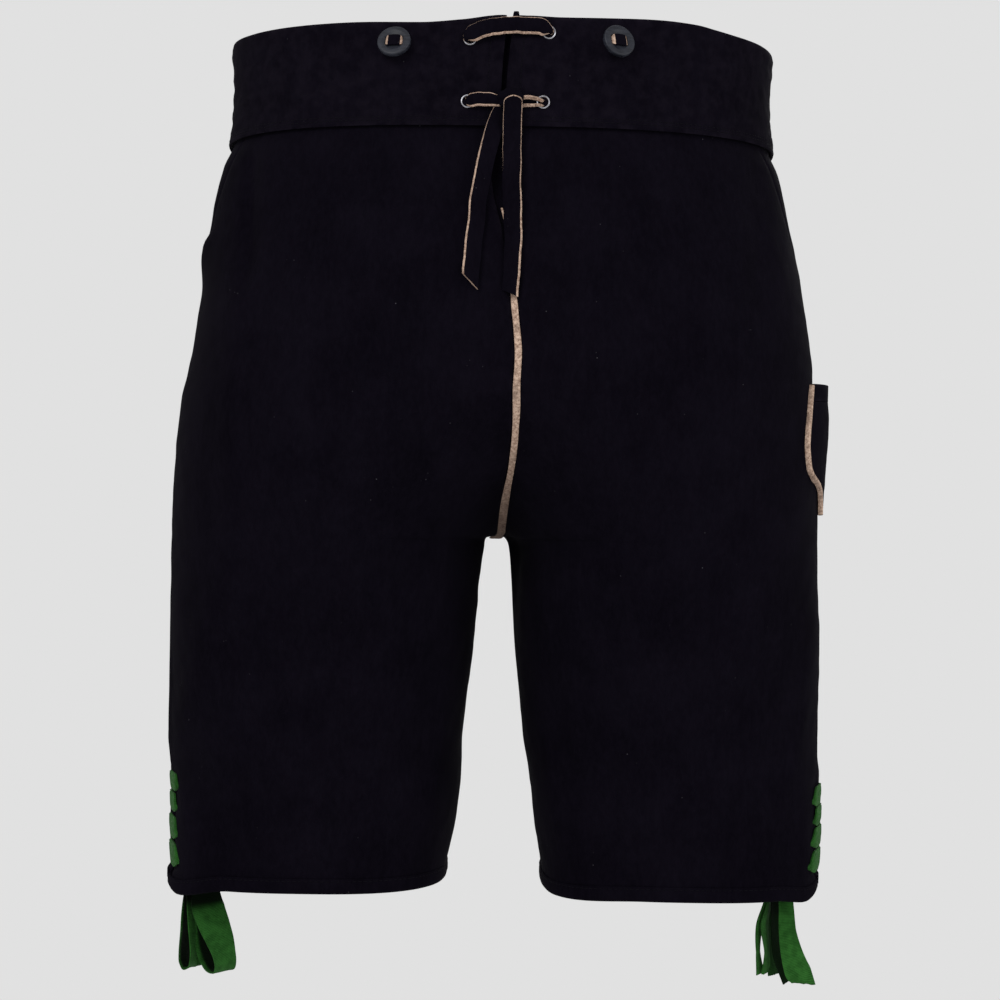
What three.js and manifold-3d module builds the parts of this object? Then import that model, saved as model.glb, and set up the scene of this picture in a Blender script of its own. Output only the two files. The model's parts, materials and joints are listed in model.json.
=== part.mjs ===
// Short lederhosen in suede, as they hang when worn: two back panels, two front panels with a buttoned drop
// front, a deep waistband laced shut at the back, bound hems with laced side slits, and a knife pocket.
// Millimetres, +Z up. The wearer faces -Y and their left side is +X. The origin is the middle of the waist
// opening, in the plane of the waistband's top edge, so the garment hangs below Z 0.
import * as THREE from "three";
import { mergeVertices } from "three/addons/utils/BufferGeometryUtils.js";
import Module from "manifold-3d";

const wasm = await Module();
wasm.setup();

// Driving dimensions
const LEATHER = 1.8;            // suede of the panels
const GAP = 0.3;                // between pieces at seams
const BAND_HEIGHT = 61;         // waistband, top edge to lower edge
const BAND_THICK = 2.2;         // doubled leather of the waistband
const TUCK = 8;                 // how far the panels run up under the waistband
const CROTCH_Z = -304;          // where the four panels meet
const HEM_Z = -521;             // lower edge of the hem binding
const BINDING_HEIGHT = 9.5;
const BINDING_PROUD = 1.3;      // the binding stands out from the leg by this much
const SEAT_CURVE = 95;          // height over which the back fork curves forward to the crotch
const FRONT_CURVE = 72;
const SLIT_FOOT_Z = -112;       // foot of the laced slit at the centre back
const WELT_WIDTH = 3.2;         // pale welt in the seat seam
const SIDE_SLIT_Z = -452;       // top of the laced slit in each side seam
const BUTTON_RADIUS = 10;
const BUTTON_THICK = 3;
const STANDOFF = 2;             // air under a button, for a brace loop
const LACE_WIDTH = 10.4;
const LACE_THICK = 1.5;
const EYELET = { bore: 2.8, barrel: 3.3, flange: 4.4, proud: 0.8 };

// The garment's outside form, by height. side: half width. back, front: depth from the middle.
// crown: distance of the deepest line of the back and front from the middle. dip: how far the seat seam sits in.
// inner: the inner leg from the middle. square: 2 is an ellipse, and more is squarer. seam: Y of the side seam.
// split: where the inner and outer parts of a panel meet, beyond the crown.
const FORM = [
  { z: 12, side: 169.6, back: 121, front: 112, crown: 4, dip: 0, inner: 0, square: 2.6, seam: 66, split: 66 },
  { z: 0, side: 169, back: 121, front: 112, crown: 4, dip: 0, inner: 0, square: 2.6, seam: 66, split: 66 },
  { z: -30, side: 167.4, back: 122, front: 114, crown: 5, dip: 0, inner: 0, square: 2.55, seam: 64, split: 66 },
  { z: -61, side: 170.6, back: 124, front: 118, crown: 8, dip: 0, inner: 0, square: 2.5, seam: 61, split: 66 },
  { z: -75, side: 176, back: 126, front: 120, crown: 14, dip: 0, inner: 0, square: 2.45, seam: 57, split: 67 },
  { z: -110, side: 183.6, back: 131, front: 123, crown: 30, dip: 0.2, inner: 0, square: 2.4, seam: 44, split: 70 },
  { z: -150, side: 189.8, back: 136, front: 125, crown: 46, dip: 1.2, inner: 0, square: 2.4, seam: 33, split: 74 },
  { z: -200, side: 197, back: 138, front: 125, crown: 60, dip: 3, inner: 0, square: 2.4, seam: 26, split: 80 },
  { z: -250, side: 202.4, back: 132, front: 121, crown: 78, dip: 5, inner: 0, square: 2.4, seam: 24, split: 90 },
  { z: -301, side: 204.2, back: 118, front: 112.5, crown: 99, dip: 6, inner: 0, square: 2.35, seam: 26, split: 102.4 },
  { z: CROTCH_Z, side: 204.3, back: 117, front: 112, crown: 100, dip: 6, inner: 2.2, square: 2.35, seam: 26, split: 103 },
  { z: -309, side: 204.5, back: 115.7, front: 111, crown: 101.3, dip: 6, inner: 8, square: 2.35, seam: 26, split: 104 },
  { z: -325, side: 205, back: 112, front: 108, crown: 104, dip: 6, inner: 10, square: 2.3, seam: 27, split: 106.5 },
  { z: -370, side: 206, back: 103, front: 101, crown: 109, dip: 6, inner: 13, square: 2.3, seam: 29, split: 111 },
  { z: -408, side: 206.4, back: 97, front: 97, crown: 112, dip: 6, inner: 17, square: 2.3, seam: 31, split: 114 },
  { z: -447, side: 206.6, back: 92, front: 94, crown: 115, dip: 6, inner: 21, square: 2.3, seam: 33, split: 116.5 },
  { z: -485, side: 206.6, back: 88, front: 91, crown: 117, dip: 6, inner: 25.2, square: 2.5, seam: 34, split: 118.5 },
  { z: -502, side: 206.4, back: 86, front: 90, crown: 118, dip: 6, inner: 28.4, square: 2.6, seam: 34, split: 119.5 },
  { z: HEM_Z - 2, side: 206, back: 85, front: 89, crown: 118.5, dip: 6, inner: 32, square: 2.7, seam: 34, split: 120 },
];
// How far the centre back wanders from the middle, by height.
const DRIFT = [
  { z: 12, x: -4.5 }, { z: 0, x: -3.5 }, { z: -45, x: 1.5 }, { z: -75, x: 2 }, { z: -112, x: 0.5 },
  { z: -165, x: -7.5 }, { z: -190, x: -9.6 }, { z: -220, x: -10.4 }, { z: -257, x: -7 },
  { z: -281, x: -3.6 }, { z: CROTCH_Z, x: -1.3 }, { z: -330, x: 0 }, { z: HEM_Z - 2, x: 0 },
];
// How far the whole garment hangs off the middle, by height.
const LEAN = [
  { z: -100, x: 0 }, { z: -150, x: -2 }, { z: -190, x: -2.4 }, { z: -222, x: 0 }, { z: -430, x: 0 },
  { z: -468, x: -1.8 }, { z: -500, x: -2.4 }, { z: HEM_Z - 2, x: -1.6 },
];
// How far the waistband's top edge stands above its plane at the back, by X. The lace draws up the middle.
const RISE = [
  { x: 168, up: 2 }, { x: 150, up: 1 }, { x: 90, up: 0.9 }, { x: 48, up: 0.2 }, { x: 24, up: 1.9 }, { x: 0, up: 4.8 },
  { x: -18, up: 4.6 }, { x: -34, up: 4 }, { x: -60, up: 4.4 }, { x: -95, up: 5.2 }, { x: -115, up: 4.6 },
  { x: -126, up: 3.2 }, { x: -140, up: 1.8 }, { x: -155, up: 1 }, { x: -170, up: 0 },
];
// Soft folds in the panels: a line from x, z to toX, toZ as seen from the panel's own side, with the height it
// stands out (or in, below zero) and its half width. face 1 is the back, and -1 the front.
const FOLDS = [
  { face: 1, x: 158, z: -140, toX: 160, toZ: -320, height: 1.6, reach: 9 },
  { face: 1, x: 160, z: -320, toX: 196, toZ: -432, height: 1.5, reach: 9 },
  { face: 1, x: 150, z: -68, toX: 150, toZ: -150, height: -2.4, reach: 6 },
  { face: 1, x: 186, z: -436, toX: 158, toZ: -500, height: -2.4, reach: 11 },
  { face: 1, x: 24, z: -350, toX: 38, toZ: -490, height: 1.4, reach: 7 },
  { face: 1, x: -155, z: -74, toX: -156, toZ: -170, height: -1.4, reach: 7 },
  { face: 1, x: -200, z: -345, toX: -178, toZ: -470, height: 1.6, reach: 8 },
  { face: 1, x: -172, z: -450, toX: -184, toZ: -500, height: -2.0, reach: 11 },
  { face: 1, x: -26, z: -365, toX: -44, toZ: -495, height: 1.4, reach: 7 },
  { face: 1, x: -28, z: -72, toX: -26, toZ: -160, height: -1.3, reach: 9 },
  { face: 1, x: 27, z: -72, toX: 24, toZ: -130, height: -1.0, reach: 9 },
  { face: -1, x: 150, z: -330, toX: 138, toZ: -495, height: 1.5, reach: 12 },
  { face: -1, x: -146, z: -345, toX: -132, toZ: -490, height: 1.5, reach: 12 },
];

const clamp = (value, low, high) => Math.min(high, Math.max(low, value));
const smooth = (t) => {
  const c = clamp(t, 0, 1);
  return c * c * (3 - 2 * c);
};
const mix = (a, b, t) => a + (b - a) * t;

// A value from a table that runs downwards in its key, with no overshoot between the rows.
function tableValue(table, column, at, key = "z") {
  const slope = (i) => (table[i + 1][column] - table[i][column]) / (table[i + 1][key] - table[i][key]);
  if (at >= table[0][key]) return table[0][column];
  if (at <= table[table.length - 1][key]) return table[table.length - 1][column];
  const i = table.findIndex((row, k) => at <= row[key] && at > table[k + 1][key]);
  const bend = (k) => {
    if (k === 0 || k === table.length - 1) return slope(Math.min(k, table.length - 2));
    const before = slope(k - 1);
    const after = slope(k);
    return before * after <= 0 ? 0 : (2 * before * after) / (before + after);
  };
  const span = table[i + 1][key] - table[i][key];
  const t = (at - table[i][key]) / span;
  const a = table[i][column];
  const b = table[i + 1][column];
  return a * (1 + 2 * t) * (1 - t) ** 2 + bend(i) * span * t * (1 - t) ** 2
    + b * t * t * (3 - 2 * t) + bend(i + 1) * span * t * t * (t - 1);
}
const form = (column, z) => tableValue(FORM, column, z);
const drift = (z) => tableValue(DRIFT, "x", z);

// The fork: how far back or forward the centre seam lies, as a share, at a height above the crotch.
function fork(z, curve) {
  const t = clamp((z - CROTCH_Z) / curve, 0, 1);
  return (1 - (1 - t) ** 2.2) ** (1 / 2.2);
}

// How far the cloth near the hem hangs above or below its level. The left leg drops at the slit and rises behind,
// and the right leg drops at its inner corner.
function hang(side, x, y, z) {
  const low = smooth((-440 - z) / 70);
  if (side > 0) return low * mix(1.8, -4, smooth((x - 168) / 34));
  return low * (-0.6 - 3 * smooth(y / 50) * (1 - smooth((x - 36) / 56)));
}

// Half of a level section, on the wearer's left: from the centre back seam (or inseam) round the outside to the
// centre front. seam is the length along it at which the side seam lies.
const rings = new Map();
function ring(z) {
  const key = z.toFixed(3);
  if (rings.has(key)) return rings.get(key);
  const f = Object.fromEntries(["side", "back", "front", "crown", "dip", "inner", "square", "seam",
    "split"]
    .map((column) => [column, form(column, z)]));
  const round = smooth((CROTCH_Z + 70 - z) / 110);
  const power = 2 / f.square;
  const points = [];
  const quarter = (depth, seamDepth, outer, backwards) => {
    const made = [];
    const count = outer ? 48 : 26;
    for (let i = 0; i <= count; i++) {
      const t = i / count;
      const angle = (t * Math.PI) / 2;
      if (outer) {
        made.push([f.crown + (f.side - f.crown) * Math.sin(angle) ** power, depth * Math.cos(angle) ** power]);
      } else {
        const across = mix(t, 1 - Math.cos(angle) ** power, round);
        const rise = mix(Math.sin(angle), Math.sin(angle) ** power, round);
        made.push([mix(f.inner, f.crown, across), mix(seamDepth, depth, rise)]);
      }
    }
    if (backwards) made.reverse();
    points.push(...made.slice(points.length ? 1 : 0));
  };
  const backSeam = (f.back - f.dip) * fork(z, SEAT_CURVE);
  const frontSeam = -f.front * fork(z, FRONT_CURVE);
  quarter(f.back, backSeam, false, false);
  quarter(f.back, 0, true, false);
  quarter(-f.front, 0, true, true);
  quarter(-f.front, frontSeam, false, true);
  const along = [0];
  for (let i = 1; i < points.length; i++) {
    along.push(along[i - 1] + Math.hypot(points[i][0] - points[i - 1][0], points[i][1] - points[i - 1][1]));
  }
  // The lengths at which the section reaches the split, the side seam, and the split again on the front.
  const crossing = (column, target, from, to) => {
    for (let i = from; i < to; i++) {
      const a = points[i][column];
      const b = points[i + 1][column];
      if ((a - target) * (b - target) <= 0 && a !== b) return mix(along[i], along[i + 1], (a - target) / (a - b));
    }
    throw new Error(`the section at ${z} never reaches ${target}`);
  };
  const last = points.length - 1;
  const marks = [0, crossing(0, f.split, 26, 74), crossing(1, f.seam, 40, last - 40),
    crossing(0, f.split, last - 74, last - 26), along[last]];
  const made = { points, along, marks, seam: marks[2], length: along[last], side: f.side };
  rings.set(key, made);
  return made;
}

// A point of the outside form, on a side (1 the wearer's left, -1 the right), s along the section.
function formPoint(side, z, s) {
  const r = ring(z);
  const at = clamp(s, 0, r.length);
  let low = 0;
  let high = r.along.length - 1;
  while (high - low > 1) {
    const mid = (low + high) >> 1;
    if (r.along[mid] <= at) low = mid;
    else high = mid;
  }
  const t = (at - r.along[low]) / Math.max(1e-9, r.along[high] - r.along[low]);
  const x = mix(r.points[low][0], r.points[high][0], t);
  const y = mix(r.points[low][1], r.points[high][1], t);
  const sway = drift(z) * (1 - x / r.side) ** 2 * smooth(y / 24);
  return new THREE.Vector3(side * x + sway + tableValue(LEAN, "x", z), y, z + hang(side, x, y, z));
}

// How far the folds move the cloth at a point.
function relief(point) {
  const quiet = smooth((-BAND_HEIGHT - 2 - point.z) / 14) * smooth((point.z - HEM_Z - BINDING_HEIGHT - 2) / 16);
  let height = 0;
  for (const fold of FOLDS) {
    if (Math.sign(point.y) !== fold.face) continue;
    const alongX = fold.toX - fold.x;
    const alongZ = fold.toZ - fold.z;
    const t = ((point.x - fold.x) * alongX + (point.z - fold.z) * alongZ) / (alongX ** 2 + alongZ ** 2);
    const held = clamp(t, 0, 1);
    const away = Math.hypot(point.x - fold.x - held * alongX, point.z - fold.z - held * alongZ);
    height += fold.height * Math.exp(-((away / fold.reach) ** 2)) * smooth(Math.min(held, 1 - held) * 4 + 0.35);
  }
  return height * quiet * smooth(Math.abs(point.y) / 24);
}

// A spot on the form: its point, its outward normal, and the fold height there.
function spot(side, z, s) {
  const r = ring(z);
  const point = formPoint(side, z, s);
  const reach = 1.5;
  const along = formPoint(side, z, s + reach).sub(formPoint(side, z, s - reach));
  const part = s <= r.marks[1] ? 0 : s <= r.marks[2] ? 1 : s <= r.marks[3] ? 2 : 3;
  const share = (s - r.marks[part]) / (r.marks[part + 1] - r.marks[part]);
  const matching = (other) => mix(ring(other).marks[part], ring(other).marks[part + 1], share);
  const up = formPoint(side, z + reach, matching(z + reach)).sub(formPoint(side, z - reach, matching(z - reach)));
  const normal = up.cross(along).multiplyScalar(side).normalize();
  return { point, normal, fold: relief(point) };
}
const lifted = (place, lift) => place.point.clone().addScaledVector(place.normal, lift + place.fold);

// Signed lengths from the centre back, from the centre front, and from a side seam (plus is towards the front).
const backSpot = (a, z) => spot(a < 0 ? -1 : 1, z, Math.abs(a));
const frontSpot = (a, z) => spot(a < 0 ? -1 : 1, z, ring(z).length - Math.abs(a));
const sideSpot = (side, a, z) => spot(side, z, ring(z).seam + a);

// A back spot whose normal is evened out across the centre, for what lies over or under both halves.
function centreSpot(a, z) {
  const place = backSpot(a, z);
  const spread = 10;
  place.normal = backSpot(a + spread, z).normal.add(backSpot(a - spread, z).normal).normalize();
  place.fold = 0;
  return place;
}

// The length along a section at which the cloth is x away from the middle, near the centre back.
function lengthAt(x, z) {
  const r = ring(z);
  let i = 1;
  while (r.points[i][0] < x) i++;
  const t = (x - r.points[i - 1][0]) / (r.points[i][0] - r.points[i - 1][0]);
  return mix(r.along[i - 1], r.along[i], t);
}

// A closed geometry from points and faces, with its faces turned to point outwards.
function closedGeometry(points, faces) {
  let volume = 0;
  for (const [a, b, c] of faces) volume += points[a].dot(points[b].clone().cross(points[c]));
  const index = volume < 0 ? faces.map(([a, b, c]) => [a, c, b]) : faces;
  const geometry = new THREE.BufferGeometry();
  geometry.setAttribute("position", new THREE.Float32BufferAttribute(points.flatMap((p) => [p.x, p.y, p.z]), 3));
  geometry.setIndex(index.flat());
  return geometry;
}

// Cloth: a wall between two sheets of rows and columns, closed round its rim.
function clothGeometry(outer, inner) {
  const rows = outer.length;
  const columns = outer[0].length;
  const points = [...outer.flat(), ...inner.flat()];
  const faces = [];
  const at = (sheet, i, j) => sheet * rows * columns + i * columns + j;
  const quad = (a, b, c, d) => faces.push([a, b, c], [a, c, d]);
  for (let i = 0; i < rows - 1; i++) {
    for (let j = 0; j < columns - 1; j++) {
      quad(at(0, i, j), at(0, i + 1, j), at(0, i + 1, j + 1), at(0, i, j + 1));
      quad(at(1, i, j), at(1, i, j + 1), at(1, i + 1, j + 1), at(1, i + 1, j));
    }
    quad(at(0, i, 0), at(1, i, 0), at(1, i + 1, 0), at(0, i + 1, 0));
    quad(at(0, i, columns - 1), at(0, i + 1, columns - 1), at(1, i + 1, columns - 1), at(1, i, columns - 1));
  }
  for (let j = 0; j < columns - 1; j++) {
    quad(at(0, 0, j), at(0, 0, j + 1), at(1, 0, j + 1), at(1, 0, j));
    quad(at(0, rows - 1, j), at(1, rows - 1, j), at(1, rows - 1, j + 1), at(0, rows - 1, j + 1));
  }
  return closedGeometry(points, faces);
}

// A panel: its outer face lies on the form, and the wall's thickness is measured square to that face.
// Along the first column the rim is kept square: to X above the crotch, and to Y along the inseam. Along the last
// it follows the form, as its neighbour does.
function panelGeometry(outer, rimNormals, thickness) {
  const rows = outer.length;
  const columns = outer[0].length;
  const inner = outer.map((line, i) => line.map((point, j) => {
    const up = outer[Math.max(i - 1, 0)][j].clone().sub(outer[Math.min(i + 1, rows - 1)][j]).normalize();
    const along = line[Math.min(j + 1, columns - 1)].clone().sub(line[Math.max(j - 1, 0)]).normalize();
    const inwards = up.cross(along).normalize();
    const under = point.clone().addScaledVector(inwards, thickness);
    if (j === columns - 1) under.copy(point).addScaledVector(rimNormals[i], -Math.abs(thickness));
    if (j === 0 && point.z > CROTCH_Z) under.x = point.x;
    if (j === 0 && point.z <= CROTCH_Z) under.y = point.y;
    return under;
  }));
  return clothGeometry(outer, inner);
}

// A patch of cloth lying on the form: place(v, u) gives a spot and the lift of its underside from the form.
function patch(rows, columns, thick, place) {
  const outer = [];
  const inner = [];
  for (const v of rows) {
    const laid = columns.map((u) => place(v, u));
    outer.push(laid.map(({ spot: s, lift }) => lifted(s, lift + thick)));
    inner.push(laid.map(({ spot: s, lift }) => lifted(s, lift)));
  }
  return clothGeometry(outer, inner);
}
const steps = (count) => Array.from({ length: count + 1 }, (_, i) => i / count);

// A strip, welt or binding: an outline of [out, across] points carried along a list of frames.
function sweepGeometry(frames, outlineOf) {
  const points = [];
  const faces = [];
  const size = outlineOf(0).length;
  frames.forEach((frame, i) => {
    for (const [out, across] of outlineOf(i / (frames.length - 1))) {
      points.push(frame.point.clone().addScaledVector(frame.out, out).addScaledVector(frame.across, across));
    }
  });
  for (let i = 0; i < frames.length - 1; i++) {
    for (let k = 0; k < size; k++) {
      const a = i * size + k;
      const b = i * size + ((k + 1) % size);
      faces.push([a, b, b + size], [a, b + size, a + size]);
    }
  }
  const last = (frames.length - 1) * size;
  for (let k = 1; k < size - 1; k++) faces.push([0, k + 1, k], [last, last + k, last + k + 1]);
  return closedGeometry(points, faces);
}
// A flat strip's outline, with its corners eased.
function stripOutline(width, thick) {
  const ease = Math.min(width, thick) * 0.25;
  const w = width / 2;
  const t = thick / 2;
  return [[t, -w + ease], [t, w - ease], [t - ease, w], [-t + ease, w],
    [-t, w - ease], [-t, -w + ease], [-t + ease, -w], [t - ease, -w]];
}

// Frames along a smooth curve through points. facing(t) is the way the strip's broad face looks.
function curveFrames(points, count, facing) {
  const curve = new THREE.CatmullRomCurve3(points, false, "centripetal");
  return steps(count).map((t) => {
    const point = curve.getPoint(t);
    const tangent = curve.getTangent(t);
    const across = facing(t).clone().cross(tangent).normalize();
    return { point, across, out: tangent.clone().cross(across).normalize() };
  });
}

function toSolid(geometry) {
  const bare = new THREE.BufferGeometry().setAttribute("position", geometry.getAttribute("position"));
  if (geometry.index) bare.setIndex(geometry.index);
  const merged = mergeVertices(bare, 1e-4);
  return new wasm.Manifold(new wasm.Mesh({
    numProp: 3,
    vertProperties: new Float32Array(merged.attributes.position.array),
    triVerts: new Uint32Array(merged.index.array),
  }));
}
function fromSolid(solid) {
  const mesh = solid.getMesh();
  const geometry = new THREE.BufferGeometry();
  geometry.setAttribute("position", new THREE.BufferAttribute(new Float32Array(mesh.vertProperties), 3));
  geometry.setIndex(new THREE.BufferAttribute(new Uint32Array(mesh.triVerts), 1));
  return geometry;
}
const cut = (geometry, tools) => fromSolid(
  tools.reduce((solid, tool) => solid.subtract(toSolid(tool)), toSolid(geometry)),
);

// A matrix that stands a piece's own +Z along a normal and its +Y as near up as it goes.
function standing(point, normal) {
  const across = new THREE.Vector3(0, 0, 1).cross(normal).normalize();
  const up = normal.clone().cross(across);
  return new THREE.Matrix4().makeBasis(across, up, normal).setPosition(point);
}

// Materials
const suede = new THREE.MeshStandardMaterial({ color: 0x0e0c12, roughness: 0.95, metalness: 0 });
const naturalEdge = new THREE.MeshStandardMaterial({ color: 0x8f735c, roughness: 0.8, metalness: 0 });
const horn = new THREE.MeshStandardMaterial({ color: 0x3e3d45, roughness: 0.5, metalness: 0 });
const ribbonGreen = new THREE.MeshStandardMaterial({ color: 0x1f6a22, roughness: 0.85, metalness: 0 });
const blackenedMetal = new THREE.MeshStandardMaterial({ color: 0x5a5a60, roughness: 0.35, metalness: 0.9 });

const lederhosen = new THREE.Group();
function add(name, geometry, material) {
  const mesh = new THREE.Mesh(geometry, material);
  mesh.name = name;
  lederhosen.add(mesh);
}

const SIDES = [{ side: 1, label: "left" }, { side: -1, label: "right" }];

// Panels
const panelTop = -BAND_HEIGHT + TUCK;
const panelFoot = HEM_Z + BINDING_HEIGHT + 3 * GAP;
const PANEL_ROWS = [panelTop, -60.5, -68, -80, -98, -118, -142, -168, -194, -218, -240, -259, -275,
  -287, -295.5, -301, CROTCH_Z, -305.4, -309, -320, -340, -366, -395, -424, -449, -468, -487, panelFoot];
const COLUMNS = [0, 0.08, 0.165, 0.25, 0.335, 0.42, 0.52, 0.62, 0.72, 0.81, 0.89, 0.95, 1];
const INNER_SHARE = 0.42;       // of a panel's columns, those between the centre seam and the split
// The panels sit back a little where the waistband holds them.
const tucked = (z) => 0.6 * smooth((z + BAND_HEIGHT + 5) / 4);

// Half the opening at the centre back: the slit under the lace, and then the welt.
function backEdge(z) {
  const seamed = WELT_WIDTH / 2 + GAP + 0.05;
  return mix(seamed, 3.6, smooth((z - SLIT_FOOT_Z) / 22) * smooth((-BAND_HEIGHT + 25 - z) / 20));
}
// Half the opening in the side seam, which parts at the laced slit.
const sideEdge = (z) => mix(GAP / 2, 2.8, smooth((SIDE_SLIT_Z - z) / 26));
const innerEdge = (z) => (z >= CROTCH_Z ? lengthAt(backEdge(z), z) : GAP);

// The panel between a centre seam or inseam, the split and the side seam, as lengths along each section.
function panel(side, edgesOf) {
  const outer = PANEL_ROWS.map((z) => COLUMNS.map((u) => {
    const [centre, split, seam] = edgesOf(z);
    const s = u < INNER_SHARE ? mix(centre, split, u / INNER_SHARE)
      : mix(split, seam, (u - INNER_SHARE) / (1 - INNER_SHARE));
    return lifted(spot(side, z, s), -tucked(z));
  }));
  const turn = edgesOf(PANEL_ROWS[0])[0] < edgesOf(PANEL_ROWS[0])[2] ? side : -side;
  const rimNormals = PANEL_ROWS.map((z) => spot(side, z, edgesOf(z)[2]).normal);
  return panelGeometry(outer, rimNormals, -turn * LEATHER);
}
for (const { side, label } of SIDES) {
  add(`back_${label}`, panel(side, (z) => [innerEdge(z), ring(z).marks[1], ring(z).seam - sideEdge(z)]), suede);
  add(`front_${label}`, panel(side, (z) => [ring(z).length - GAP / 2, ring(z).marks[3],
    ring(z).seam + sideEdge(z)]), suede);
}

// Waistband: one half each side. The left half laps over the right at the centre front.
const LAP = 20;
const LACE_ROWS = [
  { row: "top", leftA: 25.2, leftZ: -10.2, rightA: -26, rightZ: -5.3 },
  { row: "low", leftA: 20.8, leftZ: -47, rightA: -26.8, rightZ: -46.8 },
];
const bandOut = GAP + BAND_THICK;
function bandPlace(side, v, u) {
  const z = -BAND_HEIGHT * v;
  const r = ring(z);
  const slit = mix(2.4, 1.3, v);
  const reach = side > 0 ? r.length + LAP : r.length - 0.5;
  const s = slit + (reach - slit) * (0.35 * u ** 2 + 0.65 * u);
  const toFront = r.length - s;
  const over = side > 0 ? (BAND_THICK + GAP) * smooth((16 - toFront) / 11) : 0;
  const place = toFront < 0 ? spot(-1, z, r.length + toFront) : spot(side, z, s);
  place.point.z += tableValue(RISE, "up", place.point.x, "x") * smooth((place.point.y + 40) / 80) * (1 - v);
  return { spot: place, lift: GAP + over };
}
// A straight cutter through the band at an eyelet.
function boreTool(a, z, radius) {
  const place = centreSpot(a, z);
  return new THREE.CylinderGeometry(radius, radius, 12, 12).rotateX(Math.PI / 2)
    .applyMatrix4(standing(lifted(place, bandOut / 2), place.normal));
}
for (const { side, label } of SIDES) {
  const band = patch(steps(4), steps(26), BAND_THICK, (v, u) => bandPlace(side, v, u));
  const bores = LACE_ROWS.map((row) => boreTool(row[`${label}A`], row[`${label}Z`], EYELET.barrel + GAP));
  add(`waistband_${label}`, cut(band, bores), suede);
}

// Eyelets: a flange outside the band and a barrel through it.
for (const row of LACE_ROWS) {
  for (const { label } of SIDES) {
    const place = centreSpot(row[`${label}A`], row[`${label}Z`]);
    const profile = [[EYELET.bore, -1.6], [EYELET.barrel, -1.6], [EYELET.barrel, GAP], [EYELET.flange, GAP],
      [EYELET.flange - 0.4, GAP + EYELET.proud], [EYELET.bore, GAP + EYELET.proud], [EYELET.bore, -1.6]];
    const eyelet = new THREE.LatheGeometry(profile.map(([x, y]) => new THREE.Vector2(x, y)), 12)
      .rotateX(Math.PI / 2).applyMatrix4(standing(lifted(place, bandOut), place.normal));
    add(`eyelet_${row.row}_${label}`, eyelet, blackenedMetal);
  }
}

// Gusset behind the laced slit. Drawn in by the lace, it folds and stands up a little above the band.
const GUSSET_HALF = 17;
add("gusset", patch([3.6, 0, -12, -30, -50, -60, -75, -90, -105, -118], steps(8), 1.3, (z, u) => {
  const a = mix(-GUSSET_HALF, GUSSET_HALF, u);
  const place = centreSpot(a, z);
  const nub = Math.exp(-(((a + 3.5) / 3) ** 2)) * smooth(z / 3);
  place.point.z += 4.2 * nub;
  return { spot: place, lift: -LEATHER - GAP - 1.3 - 1.0 };
}), suede);

// Seat welt, from the foot of the slit under the seat to the crotch.
// Past the crotch it narrows to a point between the front panels.
const weltRows = [
  ...[SLIT_FOOT_Z - 1, ...PANEL_ROWS.filter((z) => z < SLIT_FOOT_Z - 2 && z > CROTCH_Z), -303, -303.7]
    .map((z) => ({ z, end: 0, half: z < -300 ? 1.4 : WELT_WIDTH / 2 })),
  { z: CROTCH_Z + 0.1, end: 0, half: 1.4 }, { z: -303.7, end: 1, half: 1.3 }, { z: -303, end: 1, half: 0.7 },
];
const weltPoints = weltRows.map(({ z, end }) => {
  const r = ring(z);
  return formPoint(1, z, end * r.length).setX(formPoint(1, z, end * r.length).x - form("inner", z));
});
const weltFrames = weltPoints.map((point, i) => {
  const before = weltPoints[Math.max(i - 1, 0)];
  const after = weltPoints[Math.min(i + 1, weltPoints.length - 1)];
  const across = new THREE.Vector3(1, 0, 0);
  const tangent = after.clone().sub(before).setX(0).normalize();
  return { point, across, out: tangent.clone().cross(across).normalize() };
});
if (weltFrames[0].out.y < 0) weltFrames.forEach((frame) => frame.out.negate());
add("seat_welt", sweepGeometry(weltFrames, (t) => {
  const w = weltRows[Math.round(t * (weltRows.length - 1))].half;
  return [[-1.5, -w], [0.5, -w], [1.2, -w * 0.5], [1.2, w * 0.5], [0.5, w], [-1.5, w]];
}), naturalEdge);

// Hem bindings, each an open ring round the leg that stops at the side slit.
const bindingLevel = HEM_Z + BINDING_HEIGHT / 2;
for (const { side, label } of SIDES) {
  const r = ring(bindingLevel);
  const start = r.seam + 3.2;
  const whole = r.length - 6.4;
  const frames = steps(50).map((t) => {
    const place = spot(side, bindingLevel, (start + whole * t) % r.length);
    return { point: place.point, out: place.normal.setZ(0).normalize(), across: new THREE.Vector3(0, 0, 1) };
  });
  const top = BINDING_HEIGHT / 2;
  const inside = -LEATHER - BINDING_PROUD;
  add(`hem_${label}`, sweepGeometry(frames, () => [[BINDING_PROUD, top], [BINDING_PROUD, -top + 2.4],
    [BINDING_PROUD - 1, -top + 0.4], [-LEATHER / 2, -top], [inside + 1, -top + 0.4], [inside, -top + 2.4],
    [inside, top]]), suede);
}

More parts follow.
